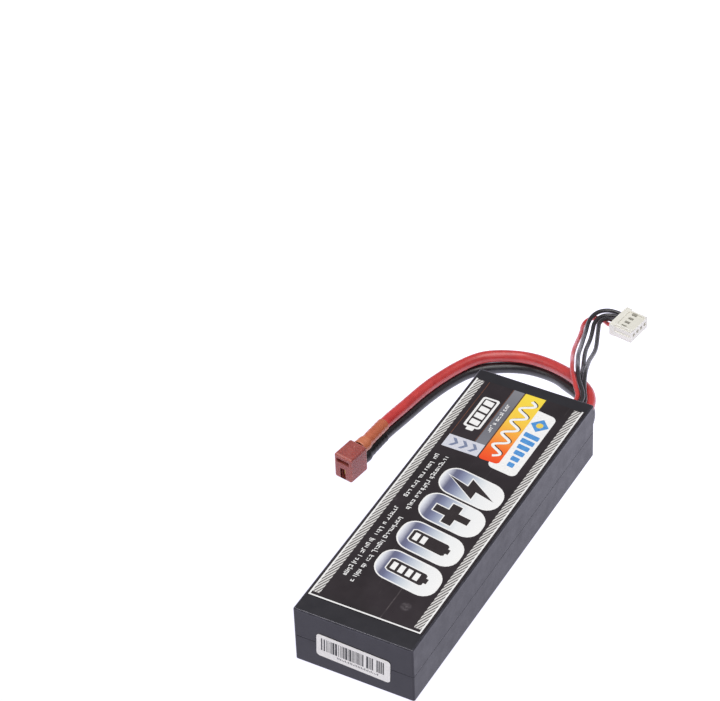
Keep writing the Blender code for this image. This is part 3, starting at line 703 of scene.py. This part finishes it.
def smooth_curve(route, spacing):
    """Evenly spaced points on the natural cubic spline through the route's points."""
    knots = np.array(route, dtype=float)
    steps = np.linalg.norm(np.diff(knots, axis=0), axis=1)
    places = np.concatenate(([0.0], np.cumsum(steps)))
    count = len(knots)
    system = np.eye(count)
    right = np.zeros((count, 3))
    for i in range(1, count - 1):
        system[i, i - 1 : i + 2] = steps[i - 1], 2 * (steps[i - 1] + steps[i]), steps[i]
        slopes = (knots[i + 1] - knots[i]) / steps[i], (knots[i] - knots[i - 1]) / steps[i - 1]
        right[i] = 6 * (slopes[0] - slopes[1])
    bends = np.linalg.solve(system, right)
    fine = []
    for place in np.linspace(0, places[-1], FINE_SAMPLES):
        i = min(max(int(np.searchsorted(places, place)) - 1, 0), count - 2)
        before, after, step = place - places[i], places[i + 1] - place, steps[i]
        cubic = (bends[i] * after**3 + bends[i + 1] * before**3) / (6 * step)
        start = (knots[i] / step - bends[i] * step / 6) * after
        end = (knots[i + 1] / step - bends[i + 1] * step / 6) * before
        fine.append(cubic + start + end)
    return evenly_spaced(np.array(fine), spacing)


def evenly_spaced(points, spacing):
    """Points along the same line, the spacing apart."""
    lengths = np.concatenate(([0.0], np.cumsum(np.linalg.norm(np.diff(points, axis=0), axis=1))))
    count = max(2, round(lengths[-1] / spacing) + 1)
    wanted = np.linspace(0, lengths[-1], count)
    return np.stack([np.interp(wanted, lengths, points[:, axis]) for axis in range(3)], axis=1)


# ---------------------------------------------------------------- cords


def make_leads():
    """Each lead as one curve, slightly uneven in thickness as drawn silicone is."""
    made = {}
    for name, (finish, diameter, _) in LEADS.items():
        power = diameter == POWER_LEAD_DIAMETER
        points = smooth_curve(ROUTES[name], diameter / (5 if power else 3))
        data = bpy.data.curves.new(name + "_jacket", "CURVE")
        data.dimensions = "3D"
        data.bevel_depth = diameter / 2
        data.bevel_resolution = 8 if power else 5
        data.use_fill_caps = True
        spline = data.splines.new("POLY")
        spline.points.add(len(points) - 1)
        for index, (point, place) in enumerate(zip(spline.points, points)):
            point.co = (*place, 1.0)
            point.radius = 1 - 0.006 * (1 + math.sin(index * 0.37) * math.cos(index * 0.113))
        spline.use_smooth = True
        data.materials.append(LOOKS[finish])
        jacket = add_object(name + "_jacket", data)
        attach(jacket, "root")
        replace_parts(jacket, name)
        made[name] = jacket, points
    return made


# ---------------------------------------------------------------- case


def case_loop(inset, height):
    """A loop round the case, inset from its outer faces."""
    radius = max(CASE_CORNER - inset, CASE_CORNER * 0.2)
    outline = rounded_outline(CASE_HALF_WIDTH - inset, CASE_HALF_LENGTH - inset, radius)
    return [(x, y, height) for x, y in outline]


def shell_rows(outer_face, edge, seam, inner_rows, inner_face, direction):
    """(inset, height, wear) from the middle of the outer face round the wall to the inner face."""
    rows = [(edge + HOLD, outer_face, 0.0)]
    # Wear 1 round the outer edge and 0.5 round the seam: where the case is lightened as scuffs and
    # as a painted highlight
    for inset, rise in quarter(edge, EDGE_STEPS):
        rows.append((inset, outer_face + direction * rise, 1.0))
    rows.append((0.0, outer_face + direction * (edge + HOLD), 0.0))
    rows.append((0.0, seam - direction * (SEAM_EDGE + HOLD), 0.0))
    for drop, inset in quarter(SEAM_EDGE, EDGE_STEPS // 2):
        rows.append((inset, seam - direction * drop, 0.5))
    rows += [(inset, height, 0.0) for inset, height in inner_rows]
    for rise, inset in quarter(CAVITY_EDGE, 2):
        rows.append((SIDE_WALL + inset, inner_face + direction * rise, 0.0))
    return rows


def outlet_place(y):
    """The outlet's middle on an upright plane."""
    return Matrix.Translation((OUTLET_MIDDLE[0], y, OUTLET_MIDDLE[1])) @ TO_WALL


def make_shell(name, rows):
    """One half of the case, its side of the outlet cut out."""
    loops = [case_loop(inset, height) for inset, height, _ in rows]
    shape = loft(loops, [wear for _, _, wear in rows])
    shell = add_piece(name + "_moulding", shape, "case_plastic")
    half = OUTLET_HALF[0] + OUTLET_GAP, OUTLET_HALF[1] + OUTLET_GAP
    outline = rounded_outline(*half, OUTLET_CORNER)
    place = outlet_place(CASE_HALF_LENGTH)
    carve(shell, [prism_cutter("outlet_cutter", outline, -3 * SIDE_WALL, SIDE_WALL, place)])
    keep_flat(shell)
    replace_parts(shell, name)


def make_case():
    """The two halves, with a lip inside the seam on the lower and a rebate for it in the upper."""
    low_seam, high_seam = SEAM_HEIGHT - SEAM_GAP / 2, SEAM_HEIGHT + SEAM_GAP / 2
    lip = (
        (LIP_OUTSIDE, low_seam), (LIP_OUTSIDE, LIP_TOP), (LIP_INSIDE, LIP_TOP),
        (LIP_INSIDE, low_seam), (SIDE_WALL, low_seam),
    )
    rebate = ((REBATE_OUTSIDE, high_seam), (REBATE_OUTSIDE, REBATE_TOP), (SIDE_WALL, REBATE_TOP))
    make_shell("lower_case", shell_rows(0.0, BASE_EDGE, low_seam, lip, FLOOR_WALL, 1))
    ceiling = CASE_HEIGHT - FLOOR_WALL
    make_shell("upper_case", shell_rows(CASE_HEIGHT, CASE_EDGE, high_seam, rebate, ceiling, -1))


def make_grommet():
    """The rubber block in the rear wall, with a flange on each side and a bore for each cord."""
    front = CASE_HALF_LENGTH - SIDE_WALL - OUTLET_GAP - FLANGE_THICKNESS
    rear = CASE_HALF_LENGTH + OUTLET_GAP + FLANGE_THICKNESS
    rows = [(FLANGE - FLANGE_EDGE, front, 0.0)]
    rows += [(FLANGE - inset, front + rise, 0.0) for inset, rise in quarter(FLANGE_EDGE, 3)]
    rows += [(FLANGE, front + FLANGE_THICKNESS, 0.0), (0.0, front + FLANGE_THICKNESS, 0.0)]
    # The rear flange's edge is weighted, so the rubber look lightens it as scuffs and as a painted
    # highlight
    rows += [(0.0, rear - FLANGE_THICKNESS, 0.0), (FLANGE, rear - FLANGE_THICKNESS, 0.2)]
    turned = [(FLANGE - inset, rear - rise, 0.8) for inset, rise in quarter(FLANGE_EDGE, 3)]
    rows += [*turned[::-1], (FLANGE - FLANGE_EDGE - HOLD, rear, 0.0)]
    loops = []
    for out, y, _ in rows:
        outline = rounded_outline(OUTLET_HALF[0] + out, OUTLET_HALF[1] + out, OUTLET_CORNER + out)
        loops.append([(x, z, y) for x, z in outline])
    shape = loft(loops, [wear for _, _, wear in rows])
    grommet = add_piece("grommet_block", shape, "rubber", outlet_place(0.0))
    bores = []
    for name, (_, diameter, _) in LEADS.items():
        x, _, z = ROUTES[name][0]
        sides = 40 if diameter == POWER_LEAD_DIAMETER else 24
        radius = diameter / 2 + BORE_CLEARANCE
        angles = [k / sides * math.tau for k in range(sides)]
        outline = [(radius * math.cos(angle), radius * math.sin(angle)) for angle in angles]
        place = Matrix.Translation((x, 0, z)) @ TO_WALL
        bores.append(prism_cutter("bore_cutter", outline, front - FLANGE, rear + FLANGE, place))
    carve(grommet, bores)
    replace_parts(grommet, "outlet_grommet")
    return grommet


# ---------------------------------------------------------------- label art


class Artwork:
    """Flat printed shapes that lie one above the other on a face, all in one piece."""

    def __init__(self, name, base, materials):
        self.name, self.base, self.materials = name, base, materials
        self.shape = bmesh.new()

    def add(self, outline, material, layer):
        """Layer 1 lies on the film, and each higher one on the one below it."""
        high = self.base + layer * INK_STEP
        prism(self.shape, outline, high - INK_STEP * 1.5, high, self.materials.index(material))

    def rectangle(self, x, y, material, layer, corner=0.0, slant=0.0):
        """A rectangle over two ranges, its corners rounded, sheared along Y by slant times X."""
        middle = sum(x) / 2, sum(y) / 2
        half = (x[1] - x[0]) / 2, (y[1] - y[0]) / 2
        outline = rounded_outline(*half, corner or 0.00001, 6 if corner else 1)
        leaned = [(middle[0] + px, middle[1] + py - slant * px) for px, py in outline]
        self.add(leaned, material, layer)

    def symbol(self, points, centre, size, material, layer, slant=0.0):
        """Points in a box from -1 to 1, where up is +X and right is -Y, as the label is read."""
        outline = []
        for right, up in points:
            x = centre[0] + up * size[0]
            outline.append((x, centre[1] - right * size[1] - slant * (x - centre[0])))
        self.add(outline, material, layer)

    def finish(self, slot="label_film", place=None):
        add_piece(self.name, self.shape, slot, place, 20, self.materials)


BOLT = ((0.25, 1.0), (-0.85, -0.16), (-0.08, -0.16), (-0.32, -1.0), (0.85, 0.22), (0.10, 0.22))
BAR = ((-1, -1), (1, -1), (1, 1), (-1, 1))
PLUS = (
    (-0.32, -1.0), (0.32, -1.0), (0.32, -0.28), (1.0, -0.28), (1.0, 0.28), (0.32, 0.28),
    (0.32, 1.0), (-0.32, 1.0), (-0.32, 0.28), (-1.0, 0.28), (-1.0, -0.28), (-0.32, -0.28),
)
DIAMOND = ((0, -1), (1, 0), (0, 1), (-1, 0))
BATTERY = (
    (-1.0, -0.88), (-0.8, -1.0), (0.8, -1.0), (1.0, -0.88), (1.0, 0.76), (0.8, 0.86),
    (0.42, 0.86), (0.42, 1.0), (-0.42, 1.0), (-0.42, 0.86), (-0.8, 0.86), (-1.0, 0.76),
)
CHEVRON = ((-0.9, 1.0), (-0.1, 1.0), (0.9, 0.0), (-0.1, -1.0), (-0.9, -1.0), (0.1, 0.0))


def clipped(outline, low, high):
    """The part of a flat outline whose y lies between two values."""
    for limit, side in ((low, 1), (high, -1)):
        kept = []
        for index, point in enumerate(outline):
            before = outline[index - 1]
            inside = side * (point[1] - limit) >= 0
            if inside != (side * (before[1] - limit) >= 0):
                share = (limit - before[1]) / (point[1] - before[1])
                kept.append((before[0] + share * (point[0] - before[0]), limit))
            if inside:
                kept.append(point)
        outline = kept
    return outline


def grown(points, amount):
    """An anticlockwise outline moved outward all round, for a border. Sharp points are cut short."""
    moved = []
    corners = [Vector(point) for point in points]
    for last, corner, following in zip(corners[-1:] + corners, corners, corners[1:] + corners[:1]):
        before, after = corner - last, following - corner
        first = Vector((before.y, -before.x)).normalized()
        outward = (first + Vector((after.y, -after.x)).normalized()).normalized()
        moved.append(tuple(corner + outward * (amount / max(0.35, outward.dot(first)))))
    return moved


def flat_sheet(middle, half, corner, base, top):
    """A thin sheet with rounded corners and a soft upper edge."""
    loops = []
    for inset, height in ((0.0, base), (0.0, top - SOFT_EDGE), (SOFT_EDGE, top)):
        outline = rounded_outline(half[0] - inset, half[1] - inset, corner - inset)
        loops.append([(middle[0] + x, middle[1] + y, height) for x, y in outline])
    return loft(loops)


def make_film():
    """The label's film."""
    middle = sum(FILM_X) / 2, sum(FILM_Y) / 2
    half = (FILM_X[1] - FILM_X[0]) / 2, (FILM_Y[1] - FILM_Y[0]) / 2
    shape = flat_sheet(middle, half, FILM_CORNER, FILM_BASE, FILM_TOP)
    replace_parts(add_piece("label_film", shape, "label_film", sharp=30), "top_label")


def make_border():
    """White lines round three sides, a hatched strip along each long one, and three rust lines."""
    art = Artwork("label_border", FILM_TOP, ["ink_white", "ink_silver", "ink_hatch", "ink_rust"])
    left, right = BORDER_X
    front, rear = BORDER_FRONT, FILM_Y[1]
    inner_left, inner_right = left + BORDER_LINE, right - BORDER_LINE
    art.rectangle((left, right), (front, front + BORDER_LINE), "ink_white", 1)
    art.rectangle((left, inner_left), (front + BORDER_LINE, rear), "ink_white", 1)
    art.rectangle((inner_right, right), (front + BORDER_LINE, rear), "ink_white", 1)
    start, end = front + 0.0019, rear - 0.0006
    strips = (inner_left, inner_left + HATCH_WIDTH), (inner_right - HATCH_WIDTH, inner_right)
    for low, high in strips:
        art.rectangle((low, high), (start, end), "ink_silver", 1)
        reach = HATCH_LEAN * (high - low)
        y = start - reach
        while y < end:
            top, stroke = y + reach, HATCH_STROKE
            outline = ((low, y), (high, top), (high, top + stroke), (low, y + stroke))
            outline = clipped(outline, start + 0.0001, end - 0.0001)
            if len(set(outline)) > 2:
                art.add(outline, "ink_hatch", 2)
            y += HATCH_PITCH
    for x in (-0.0162, -0.0064, -0.0019):
        art.rectangle((x - 0.00007, x + 0.00007), (0.0330, rear - 0.0002), "ink_rust", 2)
    art.finish()


def make_gauge():
    """Four slanted cells across the middle of the label: two battery signs, a plus and a bolt."""
    art = Artwork("charge_gauge", FILM_TOP, ["ink_white", "ink_gauge", "ink_dark"])
    x = (-0.0088, 0.0167)
    middle = sum(x) / 2
    slant, border, corner = LABEL_SLANT, 0.00055, 0.0060
    cells = (
        (-0.0371, 0.0145, BATTERY, (0.0080, 0.0029), 4),
        (-0.0210, 0.0145, BATTERY, (0.0080, 0.0029), 2),
        (-0.0049, 0.0143, PLUS, (0.0072, 0.0050), 0),
        (0.0099, 0.0136, BOLT, (0.0100, 0.0052), 0),
    )
    for y, width, points, size, charge in cells:
        sides = (y - width / 2, y + width / 2)
        inner = (sides[0] + border, sides[1] - border)
        art.rectangle(x, sides, "ink_white", 1, corner, slant)
        art.rectangle((x[0] + border, x[1] - border), inner, "ink_gauge", 2, corner - border, slant)
        edged = grown([(px * size[1], py * size[0]) for px, py in points], border * 0.8)
        art.symbol(edged, (middle, y), (1.0, 1.0), "ink_white", 3, slant)
        art.symbol(points, (middle, y), size, "ink_dark", 4, slant)
        for level in range(charge):
            rise = -0.0058 + 0.0031 * level
            centre = (middle + rise, y - slant * rise)
            art.symbol(BAR, centre, (0.0010, 0.0018), "ink_white", 5, slant)
    art.finish()


def make_panel():
    """The block at the rear end: a badge, a warm strip with a wave, and a small battery sign."""
    names = ("white", "blue", "yellow", "warm", "dark", "grey", "pale", "slate")
    art = Artwork("label_panel", FILM_TOP, ["ink_" + name for name in names])
    art.rectangle((0.0030, 0.0147), (0.0225, 0.0573), "ink_white", 1, 0.0023, 0.13)
    for k in range(6):
        rise = 0.0013 + 0.00036 * k
        y = 0.0262 + 0.0033 * k
        bar = (0.0106 - rise, 0.0106 + rise)
        art.rectangle(bar, (y, y + 0.0023), "ink_blue", 2, 0.0004, LABEL_SLANT)
    art.symbol(DIAMOND, (0.0106, 0.0504), (0.0036, 0.0036), "ink_blue", 2)
    art.rectangle((0.0093, 0.0119), (0.0491, 0.0517), "ink_yellow", 3, 0.00125)

    art.rectangle((-0.0016, 0.0065), (0.0255, 0.0639), "ink_warm", 3, 0.0014)
    art.rectangle((-0.0016, 0.0065), (0.0560, 0.0639), "ink_warm", 4)
    tall, long, waves = 0.0023, 0.0320, 4.5
    shadow, wave = (0.00030, "ink_dark", 5, 0.00058), (0.0, "ink_white", 6, 0.00056)
    for shift, material, layer, wide in (shadow, wave):
        upper, lower = [], []
        for k in range(91):
            y = 0.0288 + long * k / 90
            phase = k / 90 * waves * math.tau
            x = 0.0024 + shift + tall * math.sin(phase)
            slope = tall * math.cos(phase) * waves * math.tau / long
            step = wide / math.hypot(1, slope)
            upper.append((x + step, y - slope * step + shift))
            lower.append((x - step, y + slope * step + shift))
        art.add(upper + lower[::-1], material, layer)

    art.rectangle((-0.0062, -0.0021), (0.0325, 0.0639), "ink_grey", 1)
    art.rectangle((-0.0163, -0.0021), (0.0258, 0.0325), "ink_pale", 3)
    for k in range(3):
        turned = [(-up, right) for right, up in CHEVRON]
        art.symbol(turned, (-0.0127 + 0.0038 * k, 0.0292), (0.0017, 0.0021), "ink_slate", 4)

    art.rectangle((-0.0145, -0.0078), (0.0388, 0.0560), "ink_white", 1, 0.0011)
    art.rectangle((-0.0126, -0.0097), (0.0372, 0.0390), "ink_white", 2, 0.0004)
    art.rectangle((-0.0136, -0.0087), (0.0397, 0.0551), "ink_dark", 3, 0.0006)
    for k in range(4):
        y = 0.0406 + 0.0037 * k
        art.rectangle((-0.0130, -0.0093), (y, y + 0.0027), "ink_white", 4, 0.0002, LABEL_SLANT)
    art.finish()


def make_small_print():
    """Two lines and one word of small print, as plain strokes that say nothing."""
    art = Artwork("small_print", FILM_TOP, ["ink_white"])
    strokes = random.Random(11)
    runs = (
        (-0.0149, 0.00108, 0.0210, -0.0051),
        (-0.0149, 0.00108, -0.0092, -0.0497),
        (-0.0113, 0.00108, 0.0210, -0.0099),
        (-0.0113, 0.00108, -0.0138, -0.0508),
        (-0.0043, 0.00105, 0.0560, 0.0385),
    )
    for x, tall, y, end in runs:
        left_in_word = strokes.randint(4, 9)
        while y > end + 0.0012:
            if left_in_word == 0:
                y -= 0.0010
                left_in_word = strokes.randint(3, 9)
                continue
            width = strokes.choice((0.00090, 0.00105, 0.00120))
            low = x - tall * strokes.choice((0.62, 0.62, 0.62, 0.95))
            high = x + tall * strokes.choice((0.5, 0.5, 0.95))
            right, waist = y - width, x + 0.2 * tall
            parts = (
                (0.75, (low, high), (y - PRINT_POST, y), 2),
                (0.65, (low, low + PRINT_POST), (right + 0.0001, y - PRINT_POST), 2),
                (0.65, (low, x + 0.5 * tall), (right, right + PRINT_POST), 3),
                (0.45, (waist, waist + PRINT_POST), (right, y), 4),
            )
            for chance, across, along, layer in parts:
                if strokes.random() < chance:
                    art.rectangle(across, along, "ink_white", layer)
            y -= width + PRINT_GAP
            left_in_word -= 1
    art.finish()


def make_sticker():
    """The small white sticker on the front end, with plain bars of random width."""
    shape = flat_sheet((0, 0), STICKER_HALF, STICKER_CORNER, STICKER_BASE, STICKER_TOP)
    sticker = add_piece("barcode_sticker", shape, "label_paper", STICKER_PLACE, 30)
    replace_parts(sticker, "barcode_label")
    art = Artwork("sticker_bars", STICKER_TOP, ["ink_black"])
    bars = random.Random(5)
    x = -0.0124
    while x < 0.0118:
        wide = bars.choice((0.00026, 0.00026, 0.00052, 0.00078))
        if 0.0042 < x < 0.0050 or 0.0072 < x < 0.0086:
            x += 0.0008
            continue
        art.rectangle((x, x + wide), (-0.0021, 0.0036), "ink_black", 1)
        x += wide + bars.choice((0.00026, 0.00026, 0.00052))
    for k in range(26):
        x = -0.0062 + k * 0.00062
        tall = bars.choice((0.0005, 0.0009, 0.0009))
        art.rectangle((x, x + 0.00028), (-0.0036, -0.0036 + tall), "ink_black", 1)
    art.finish("label_paper", STICKER_PLACE)


# ---------------------------------------------------------------- plugs


def slot_cutter(name, ends, height, place):
    """A cutter along Y between two ends, each (half width, half height, corner, y)."""
    loops = []
    for wide, tall, corner, y in ends:
        outline = rounded_outline(wide, tall, corner, 3)
        loops.append([(x, y, height + z) for x, z in outline])
    return mesh_object(name, loft(loops), place)


def power_housing():
    """The blade plug's housing: rounded, with two slots flared at the front and a dot on top."""
    half = (POWER_PLUG_WIDTH / 2, POWER_PLUG_HEIGHT / 2, POWER_PLUG_LENGTH / 2)
    shape = rounded_box(half, POWER_PLUG_EDGE, POWER_PLUG_EDGE * 1.1, 5)
    upright = Matrix.Translation((0, -half[2], half[1])) @ Matrix.Rotation(math.pi / 2, 4, "X")
    housing = add_piece("power_plug_shell", shape, "plug_nylon", POWER_PLUG_PLACE @ upright)
    middle = POWER_PLUG_PLACE @ Matrix.Translation((0, -half[2], 0))
    front = POWER_PLUG_PLACE @ Matrix.Translation((0, -POWER_PLUG_LENGTH, 0))
    depth, flare = half[2] + 0.001, 0.00045
    cutters = []
    for height, width, own_height in POWER_SLOTS.values():
        wide, tall = width / 2, own_height / 2
        through = (wide, tall, 0.0002, -depth), (wide, tall, 0.0002, depth)
        cutters.append(slot_cutter("slot_cutter", through, height, middle))
        lead_in = (wide + flare, tall + flare, 0.0003, -0.0004), (wide, tall, 0.0003, 0.0004)
        cutters.append(slot_cutter("lead_in_cutter", lead_in, height, front))
    dot = bmesh.new()
    bmesh.ops.create_uvsphere(dot, u_segments=24, v_segments=16, radius=0.0006)
    spot = Matrix.Translation((0, -0.0027, POWER_PLUG_HEIGHT + 0.0003))
    cutters.append(mesh_object("dot_cutter", dot, POWER_PLUG_PLACE @ spot))
    carve(housing, cutters)
    keep_flat(housing)
    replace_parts(housing, "power_plug_housing")
    return housing


def power_contact(name, height, upright):
    """A bowed spring blade in its slot, with a solder tail behind the housing."""
    blade, tail = (0.0022 * 0.82, 0.0015 * 0.72) if upright else (0.0022, 0.0015)
    thick, steps = 0.00034, 14
    loops = []
    for k in range(steps + 1):
        y = -0.0084 + 0.0080 * k / steps
        bow = 0.00022 * math.sin(k / steps * math.pi)
        narrow = 1.0 if k else 0.86
        outline = rounded_outline(blade * narrow, thick * narrow, 0.0002, 3)
        loops.append([(across, y, up + bow) for across, up in outline])
    for y, share in ((-0.0002, 0.66), (0.0040, 0.60)):
        outline = rounded_outline(tail, thick * share, 0.00018, 3)
        loops.append([(across, y, up) for across, up in outline])
    turn = Matrix.Rotation(math.pi / 2, 4, "Y") if upright else Matrix.Identity(4)
    place = POWER_PLUG_PLACE @ Matrix.Translation((0, 0, height)) @ turn
    contact = add_piece(name + "_blade", loft(loops), "gold_contact", place)
    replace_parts(contact, name)
    return contact


def make_sleeve(name, lead_points, finish):
    """Shrunk tube from the plug along the lead: fat over the joint, then tight on the lead."""
    behind = POWER_PLUG_PLACE @ Vector((0, SLEEVE_GAP, 0))
    plug_point = (behind.x, behind.y, lead_points[-1][2])
    line = evenly_spaced(np.vstack((lead_points, plug_point)), 0.00025)[::-1]
    lengths = np.concatenate(([0.0], np.cumsum(np.linalg.norm(np.diff(line, axis=0), axis=1))))
    line = line[lengths <= SLEEVE_LENGTH]
    count = len(line)
    tight = POWER_LEAD_DIAMETER / 2 + 0.00004
    outer, inner, worn = [], [], []
    for index, centre in enumerate(line):
        ahead = Vector(line[min(index + 2, count - 1)]) - Vector(line[max(index - 2, 0)])
        ahead.normalize()
        across = ahead.cross(Vector((0, 0, 1))).normalized()
        upward = across.cross(ahead)
        reach = index / (count - 1) * SLEEVE_LENGTH
        fat = min(1.0, max(0.0, (SLEEVE_JOINT - reach) / SLEEVE_TAPER))
        fat = fat * fat * (3 - 2 * fat)
        wide = SLEEVE_RADIUS + SLEEVE_SWELL[0] * fat
        tall = SLEEVE_RADIUS + SLEEVE_SWELL[1] * fat
        wave = 0.00003 * math.sin(reach * 3100) + 0.00002 * math.sin(reach * 7900 + 1.3)
        lip = min(1.0, reach / SLEEVE_LIP, (SLEEVE_LENGTH - reach) / SLEEVE_LIP)
        more = wave - (1 - lip) * 0.00010
        ring, bore = [], []
        for k in range(SLEEVE_SIDES):
            angle = k / SLEEVE_SIDES * math.tau
            side, rise = across * math.cos(angle), upward * math.sin(angle)
            swell = more + 0.00002 * math.sin(3 * angle + reach * 900)
            ring.append(Vector(centre) + side * (wide + swell) + rise * (tall + swell))
            bore.append(Vector(centre) + (side + rise) * tight)
        outer.append(ring)
        inner.append(bore)
        worn.append(0.55 * fat)
    shape = bmesh.new()
    skin(shape, outer + inner[::-1], worn + worn[::-1], closed=True)
    sleeve = add_piece(name + "_tube", shape, finish, sharp=50)
    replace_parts(sleeve, name)
    return sleeve


def balance_housing():
    """The flat four-way plug: guide ribs, latch windows, and square cavities for wires and pins."""
    half_wide, half_thick = BALANCE_PLUG_WIDTH / 2, BALANCE_PLUG_THICKNESS / 2
    body_top = half_thick - 0.0006
    shape = rounded_box(
        (half_wide - 0.0004, (body_top + half_thick) / 2, BALANCE_PLUG_LENGTH / 2),
        0.00025, 0.0003, 3,
    )
    lift = Matrix.Translation((BALANCE_PLUG_LENGTH / 2, 0, (body_top - half_thick) / 2))
    place = BALANCE_PLUG_PLACE @ lift @ ALONG_X
    housing = add_piece("balance_plug_shell", shape, "ivory_nylon", place)
    rib, rail, rail_y = (0.00055, 0.0008, 0.0046), (0.0005, 0.0009, 0.0040), half_wide - 0.0005
    blocks = (
        ((half_wide, half_thick - 0.0002, 0.0012), 0.0003, 3, (0.0013, 0, 0)),
        (rib, 0.0002, 2, (0.0050, -0.0047, half_thick - 0.0009)),
        (rib, 0.0002, 2, (0.0050, 0.0047, half_thick - 0.0009)),
        (rail, 0.0002, 2, (0.0056, -rail_y, -0.0008)),
        (rail, 0.0002, 2, (0.0056, rail_y, -0.0008)),
    )
    additions = []
    for half, corner, steps, spot in blocks:
        place = BALANCE_PLUG_PLACE @ Matrix.Translation(spot) @ ALONG_X
        additions.append(mesh_object("rib", rounded_box(half, 0.0002, corner, steps), place))
    cavity = rounded_outline(0.00105, 0.00105, 0.0002, 2)
    mouth = rounded_outline(0.0007, 0.0007, 0.0001, 2)
    window = rounded_outline(0.0011, 0.00062, 0.00015, 2)
    end = BALANCE_PLUG_LENGTH
    cutters = []
    for k in range(4):
        row = BALANCE_PLUG_PLACE @ Matrix.Translation((0, BALANCE_PITCH * (k - 1.5), 0))
        above = row @ Matrix.Translation((0.0052, 0, 0))
        cutters.append(prism_cutter("cavity", cavity, -0.001, end - 0.0012, row @ ALONG_X))
        cutters.append(prism_cutter("mouth", mouth, end - 0.002, 0.012, row @ ALONG_X))
        cutters.append(prism_cutter("window", window, 0.0006, half_thick + 0.001, above))
    carve(housing, cutters, additions)
    keep_flat(housing)
    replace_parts(housing, "balance_plug_housing")
    return housing


# ---------------------------------------------------------------- hidden parts


def dress_cad_nodes():
    """Each CAD node gets the look of its slot in the record, for those that stay."""
    for part in frame["record"]["subparts"]:
        node = frame["nodes"][part["node"]]
        node.data.materials.clear()
        node.data.materials.append(LOOKS[part["material_slot"]])


# ---------------------------------------------------------------- stage

FLOOR_GLOW = (1.04, 1.03, 1.20, 1.0)
# The floor's glow grows along Y and X: from and to where, then by how much
FLOOR_RISE_Y = (0.0, 0.14, 1.0, 1.35)
FLOOR_RISE_X = (0.023, 0.060, 1.0, 1.12)
WORLD_GLOW = 0.28
WORLD_COLOUR = (0.97, 0.98, 1.0, 1.0)
# Name, place, size and power
LAMPS = (
    ("overhead_softbox", (0.25, -0.15, 1.6), 1.5, 17.0),
    ("edge_softbox", (-0.66, 0.08, 1.55), 0.5, 6.0),
    ("front_softbox", (0.9, -1.3, 0.9), 1.0, 5.0),
    ("left_softbox", (-1.3, -0.5, 0.9), 1.0, 2.5),
)


def make_stage():
    """A glowing white floor, a pale world and four soft lamps."""
    bpy.context.scene.view_settings.view_transform = "Standard"
    shape = bmesh.new()
    bmesh.ops.create_grid(shape, x_segments=1, y_segments=1, size=4.0)
    floor = mesh_object("floor", shape)
    floor.location.z = -0.0001
    look = Look("floor_paper", Specular_IOR_Level=0.0, Emission_Color=FLOOR_GLOW)
    behind = look.spread(look.axis("Y"), *FLOOR_RISE_Y)
    beside = look.spread(look.axis("X"), *FLOOR_RISE_X)
    look.feed(look.shader, {"Emission Strength": look.times(behind, beside)})
    look.finish((0.0, 0.0, 0.0, 1.0), 1.0)
    floor.data.materials.append(LOOKS["floor_paper"])

    world = bpy.data.worlds.new("studio")
    world.use_nodes = True
    background = world.node_tree.nodes["Background"]
    background.inputs["Color"].default_value = WORLD_COLOUR
    background.inputs["Strength"].default_value = WORLD_GLOW
    bpy.context.scene.world = world

    for name, place, size, power in LAMPS:
        data = bpy.data.lights.new(name, "AREA")
        data.shape = "DISK"
        data.size = size
        data.energy = power
        lamp = add_object(name, data)
        lamp.location = place
        lamp.rotation_euler = (-Vector(place)).to_track_quat("-Z", "Y").to_euler()


# ---------------------------------------------------------------- the pack

make_camera()
make_materials()
dress_cad_nodes()
leads = make_leads()
grommet = make_grommet()
housing = power_housing()
contacts = [
    power_contact(name, height, own_height > width)
    for name, (height, width, own_height) in POWER_SLOTS.items()
]
for colour in ("red", "black"):
    lead = "main_lead_" + colour
    sleeve = make_sleeve("heat_shrink_" + colour, leads[lead][1], colour + "_shrink")
balance_pieces = [balance_housing(), *(frame["nodes"][f"balance_contact_{k}"] for k in range(1, 5))]
make_case()
make_film()
make_border()
make_gauge()
make_panel()
make_small_print()
make_sticker()
make_stage()

bpy.context.view_layer.update()
